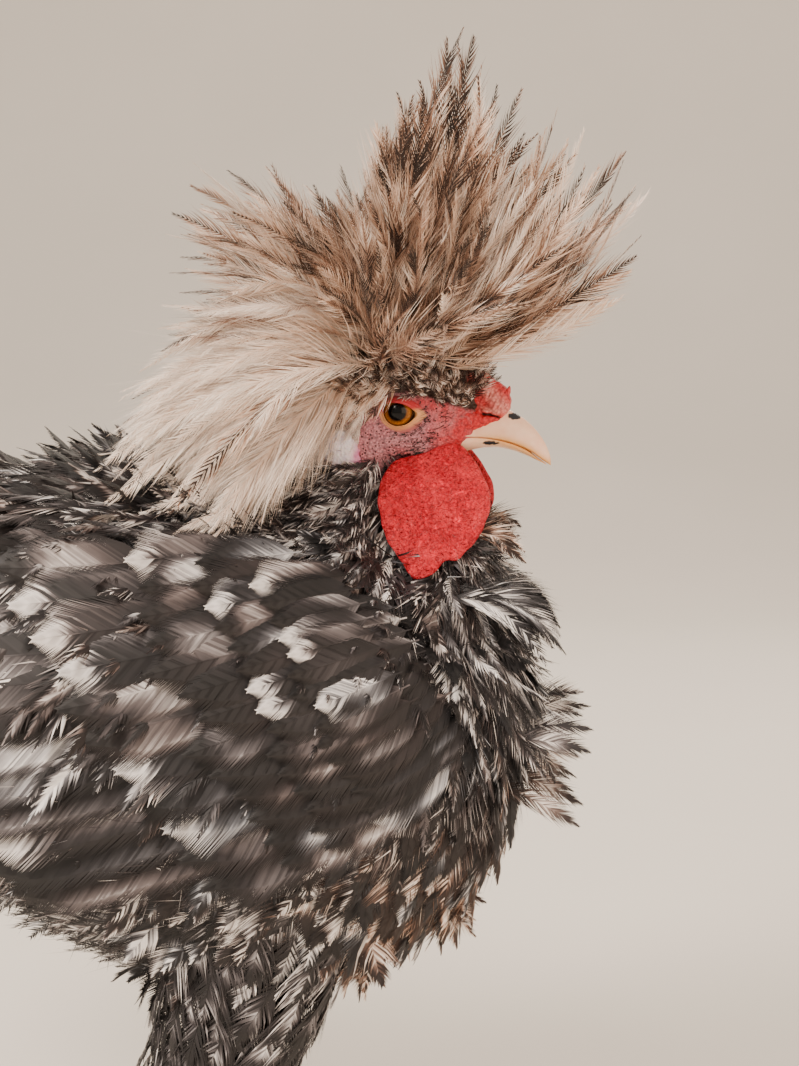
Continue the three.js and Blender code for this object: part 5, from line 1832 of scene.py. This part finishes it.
@dataclass(frozen=True)
class Leg:
    """A shank and four toes under overlapping plates."""

    y: float = 40.0
    foot_x: float = 8.0
    hock: tuple[float, float] = (-12.0, 104.0)
    plates: int = 17
    # name, turn in degrees, reach and number of plates
    toes: tuple[tuple[str, float, float, int], ...] = (
        ("inner", -24.0, 44.0, 11),
        ("middle", 3.0, 56.0, 14),
        ("outer", 30.0, 46.0, 11),
        ("hind", 170.0, 22.0, 5),
    )

    def scaled_tube(self, path: Floats, wide: Floats, deep: Floats, plates: int, front: float) -> Shell:
        """A tube whose upper side is covered by overlapping plates and whose rest is pebbled.

        Each plate rises along its length and drops to the next, a sawtooth in the radius, strongest
        at `front` and gone at the back.

        Args:
            path: points along the middle.
            wide: half-width along it.
            deep: half-depth along it.
            plates: how many plates lie on it.
            front: the angle of the plates' middle round the tube.

        Returns:
            The tube, marked by how high each point lies on its plate.
        """
        around = 56
        steps = len(path)
        along = unit(np.gradient(path, axis=0))
        hint = np.array([0.0, 1.0, 0.0])
        level = np.array([0.0, 0.0, 1.0])
        steep = abs(along[:, 2]).mean() > 0.7
        side = unit(hint - along * (along @ hint)[:, None]) if steep else unit(np.cross(level, along))
        up = np.cross(along, side)
        turn = circle(around)
        v, a = np.meshgrid(np.linspace(0, 1, steps), turn, indexing="ij")
        saw = (v * plates) % 1.0
        facing = step_between(-0.1, 0.7, np.cos(a - front))
        rise = facing * (0.55 * saw**1.5 - 0.45 * bell(saw, 0.02, 0.05))
        seam = np.exp(-(((np.abs(((a - front + math.pi) % (2 * math.pi)) - math.pi) - 1.15) / 0.12) ** 2))
        pebble = (1 - facing) * 0.22 * np.sin(v * plates * 4 * math.pi) * np.sin(a * 10)
        swell = rise - 0.3 * seam + pebble
        ring = side[:, None] * (np.sin(a) * (wide[:, None] + swell))[..., None]
        ring = ring + up[:, None] * (np.cos(a) * (deep[:, None] + swell))[..., None]
        grid = path[:, None] + ring
        grid[..., 2] = np.maximum(grid[..., 2], 0.0)
        shell = Shell.of_grid(grid)
        plate = np.clip(0.35 + 0.6 * saw * facing - 0.5 * seam + 0.3 * pebble, 0, 1)
        return shell.mark_grid({Mark.PLATE: plate})

    def build(self, sign: float) -> Shell:
        """The shank and its toes as one shell."""
        t = np.linspace(0, 1, 240)
        stops = np.array(
            [
                [self.hock[0], self.hock[1] - 0.4, 6.6, 8.2],
                [-9.0, 79.0, 5.1, 6.1],
                [1.0, 46.0, 4.8, 5.7],
                [7.0, 18.0, 5.7, 6.5],
                [8.0, 6.0, 6.8, 7.4],
            ]
        )
        line = smooth(stops, t)
        path = xyz(line[:, 0], sign * self.y, line[:, 1])
        shells = [self.scaled_tube(path, line[:, 2], line[:, 3], self.plates, math.pi)]
        for _, turn, reach, plates in self.toes:
            shells.append(self.toe(sign, turn, reach, plates))
        return Shell.joined(shells)

    def toe(self, sign: float, turn: float, reach: float, plates: int) -> Shell:
        """One toe along the floor, with swollen pads under its joints."""
        t = np.linspace(0, 1, 16 * plates)
        line = smooth(np.array([[6.6, 5.0, 5.6], [4.8, 4.5, 4.8], [4.1, 4.2, 4.3], [3.6, 3.2, 3.5]]), t)
        angle = sign * math.radians(turn)
        knuckle = 0.45 * np.cos(t * 6 * math.pi) * (t > 0.1)
        ahead = self.foot_x + reach * t * math.cos(angle)
        aside = sign * self.y + reach * t * math.sin(angle)
        path = xyz(ahead, aside, line[:, 0])
        return self.scaled_tube(path, line[:, 1] + knuckle, line[:, 2] + knuckle, plates, 0.0)


# Studio


class Studio:
    """The floor, the backdrop, the lights and the camera."""

    def __init__(self, frame: Frame) -> None:
        """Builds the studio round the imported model."""
        self.frame = frame
        self.floor()
        self.lights()
        self.camera()

    def floor(self) -> None:
        """A pale floor that curves up into the backdrop behind the bird."""
        reach, bend_from, bend_radius, columns = 9.0, 1.6, 1.4, 9
        turn = np.linspace(0, math.pi / 2, 24)
        level = np.linspace(-reach, bend_from, 12)
        wall = bend_from + bend_radius
        run = np.concatenate([level, bend_from + bend_radius * np.sin(turn), [wall, wall]])
        high = np.concatenate([0 * level, bend_radius - bend_radius * np.cos(turn), [3.5, 5.0]])
        across = np.linspace(-reach, reach, columns)
        x, y = np.meshgrid(across, run)
        grid = xyz(x, y, high[:, None])
        mesh = bpy.data.meshes.new("studio_floor")
        mesh.from_pydata(grid.reshape(-1, 3).tolist(), [], grid_faces(len(run), columns, wrap=False).tolist())
        mesh.polygons.foreach_set("use_smooth", np.full(len(mesh.polygons), True))
        finish = Finish("studio_paper", 0.9)
        cloud = finish.band(finish.noise(400.0), 0.3, 0.7)
        finish.colour(finish.ramp(cloud, {0.0: "#E4DED6", 1.0: "#E8E2DA"}))
        mesh.materials.append(finish.material)
        made = bpy.data.objects.new("studio_floor", mesh)
        bpy.context.scene.collection.objects.link(made)
        made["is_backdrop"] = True

    def lights(self) -> None:
        """A key from the upper left, a wide warm fill from the right and a rim light from behind."""
        world = bpy.data.worlds.new("studio")
        world.use_nodes = True
        world.node_tree.nodes["Background"].inputs["Color"].default_value = linear("#F6E8DA")
        world.node_tree.nodes["Background"].inputs["Strength"].default_value = 1.0
        bpy.context.scene.world = world
        head = Vector((self.frame.shift[0] + EYE_X, 0.0, EYE_Z - 40)) * METRES
        for name, place, size, power, code in (
            ("key", (-0.8, -1.0, 1.15), 0.5, 46.0, "#FFEFE0"),
            ("fill", (1.3, -0.9, 0.3), 1.2, 17.0, "#FFDCC0"),
            ("rim", (0.3, 1.2, 1.1), 0.8, 18.0, "#FFF3E2"),
        ):
            lamp = bpy.data.lights.new(name, "AREA")
            lamp.size = size
            lamp.energy = power
            lamp.color = linear(code)[:3]
            made = bpy.data.objects.new(name, lamp)
            made.location = head + Vector(place)
            made.rotation_euler = (-Vector(place)).to_track_quat("-Z", "Y").to_euler()
            bpy.context.scene.collection.objects.link(made)

    def camera(self) -> None:
        """The photo's view: the right side of the head, from slightly ahead and above.

        The lens and distance follow from the photo's scale: 3.11 pixels to the millimetre at the
        head, on a frame 1066 pixels high.
        """
        focal_pixels, frame_high, distance = 1400.0, 1066.0, 450.0
        azimuth, elevation = math.radians(6.0), math.radians(7.0)
        eye_right_of_middle, eye_above_middle = -2.5, 121.0
        level = math.cos(elevation)
        back = Vector((math.sin(azimuth) * level, -math.cos(azimuth) * level, math.sin(elevation)))
        turn = (-back).to_track_quat("-Z", "Y")
        eye = Vector(self.frame.place(np.array([EYE_X, -EYE_Y - EYE_RADIUS, EYE_Z])))
        scale = distance / focal_pixels * METRES
        aside = turn @ Vector((-eye_right_of_middle * scale, -eye_above_middle * scale, 0))
        data = bpy.data.cameras.new("camera")
        data.sensor_width = 36.0
        data.lens = focal_pixels / frame_high * data.sensor_width
        data.clip_start = 0.01
        made = bpy.data.objects.new("camera", data)
        made.matrix_world = Matrix.LocRotScale(eye + back * distance * METRES + aside, turn, None)
        bpy.context.scene.collection.objects.link(made)
        bpy.context.scene.camera = made


def main() -> None:
    """Builds every piece in order."""
    logging.basicConfig(level=logging.INFO, format="%(name)s: %(message)s")
    frame = Frame()
    Studio(frame)
    rng = np.random.default_rng(11)

    frame.piece("skin", SKIN.build(), SkinFinish().material, "flesh", ["head"])
    red, lobe_skin, horn = WattleFinish().material, LobeFinish().material, BeakFinish().material
    lids, amber = LidFinish().material, EyeFinish().material
    eye, wattle, lobe, leg, beak = Eye(), Wattle(), Lobe(), Leg(), Beak()
    scale = LegFinish().material
    for name, sign in SIDES.items():
        frame.piece(f"eyeball_{name}", eye.ball(sign), amber, "eye", [f"eye_{name}"])
        frame.piece(f"lids_{name}", eye.lids(sign), lids, "flesh")
        frame.piece(f"wattle_{name}_skin", wattle.build(sign), red, "flesh", [f"wattle_{name}"])
        frame.piece(f"lobe_{name}", lobe.build(sign), lobe_skin, "lobe", [f"earlobe_{name}"])
        frame.piece(f"leg_{name}", leg.build(sign), scale, "scales", [f"foot_{name}"])
    frame.piece("beak_top", beak.half(True), horn, "horn", ["beak_upper"])
    frame.piece("beak_bottom", beak.half(False), horn, "horn", ["beak_lower"])
    frame.piece("comb_flesh", Comb().build(), CombFinish().material, "flesh", ["comb"])

    coat = Coat(frame)
    coat.build_crest(rng)
    coat.build_brow(rng)
    coat.build_hackle(rng)
    coat.build_body(rng)
    coat.build_thighs(rng)
    for name, sign in SIDES.items():
        coat.build_wing(name, sign, rng)
    coat.build_tail(rng)

    claw = ClawFinish().material
    for name, node in frame.data["nodes"].items():
        if name.startswith(("claw_", "spur_")):
            node.data.materials.clear()
            node.data.materials.append(claw)


if __name__ == "__main__":
    main()
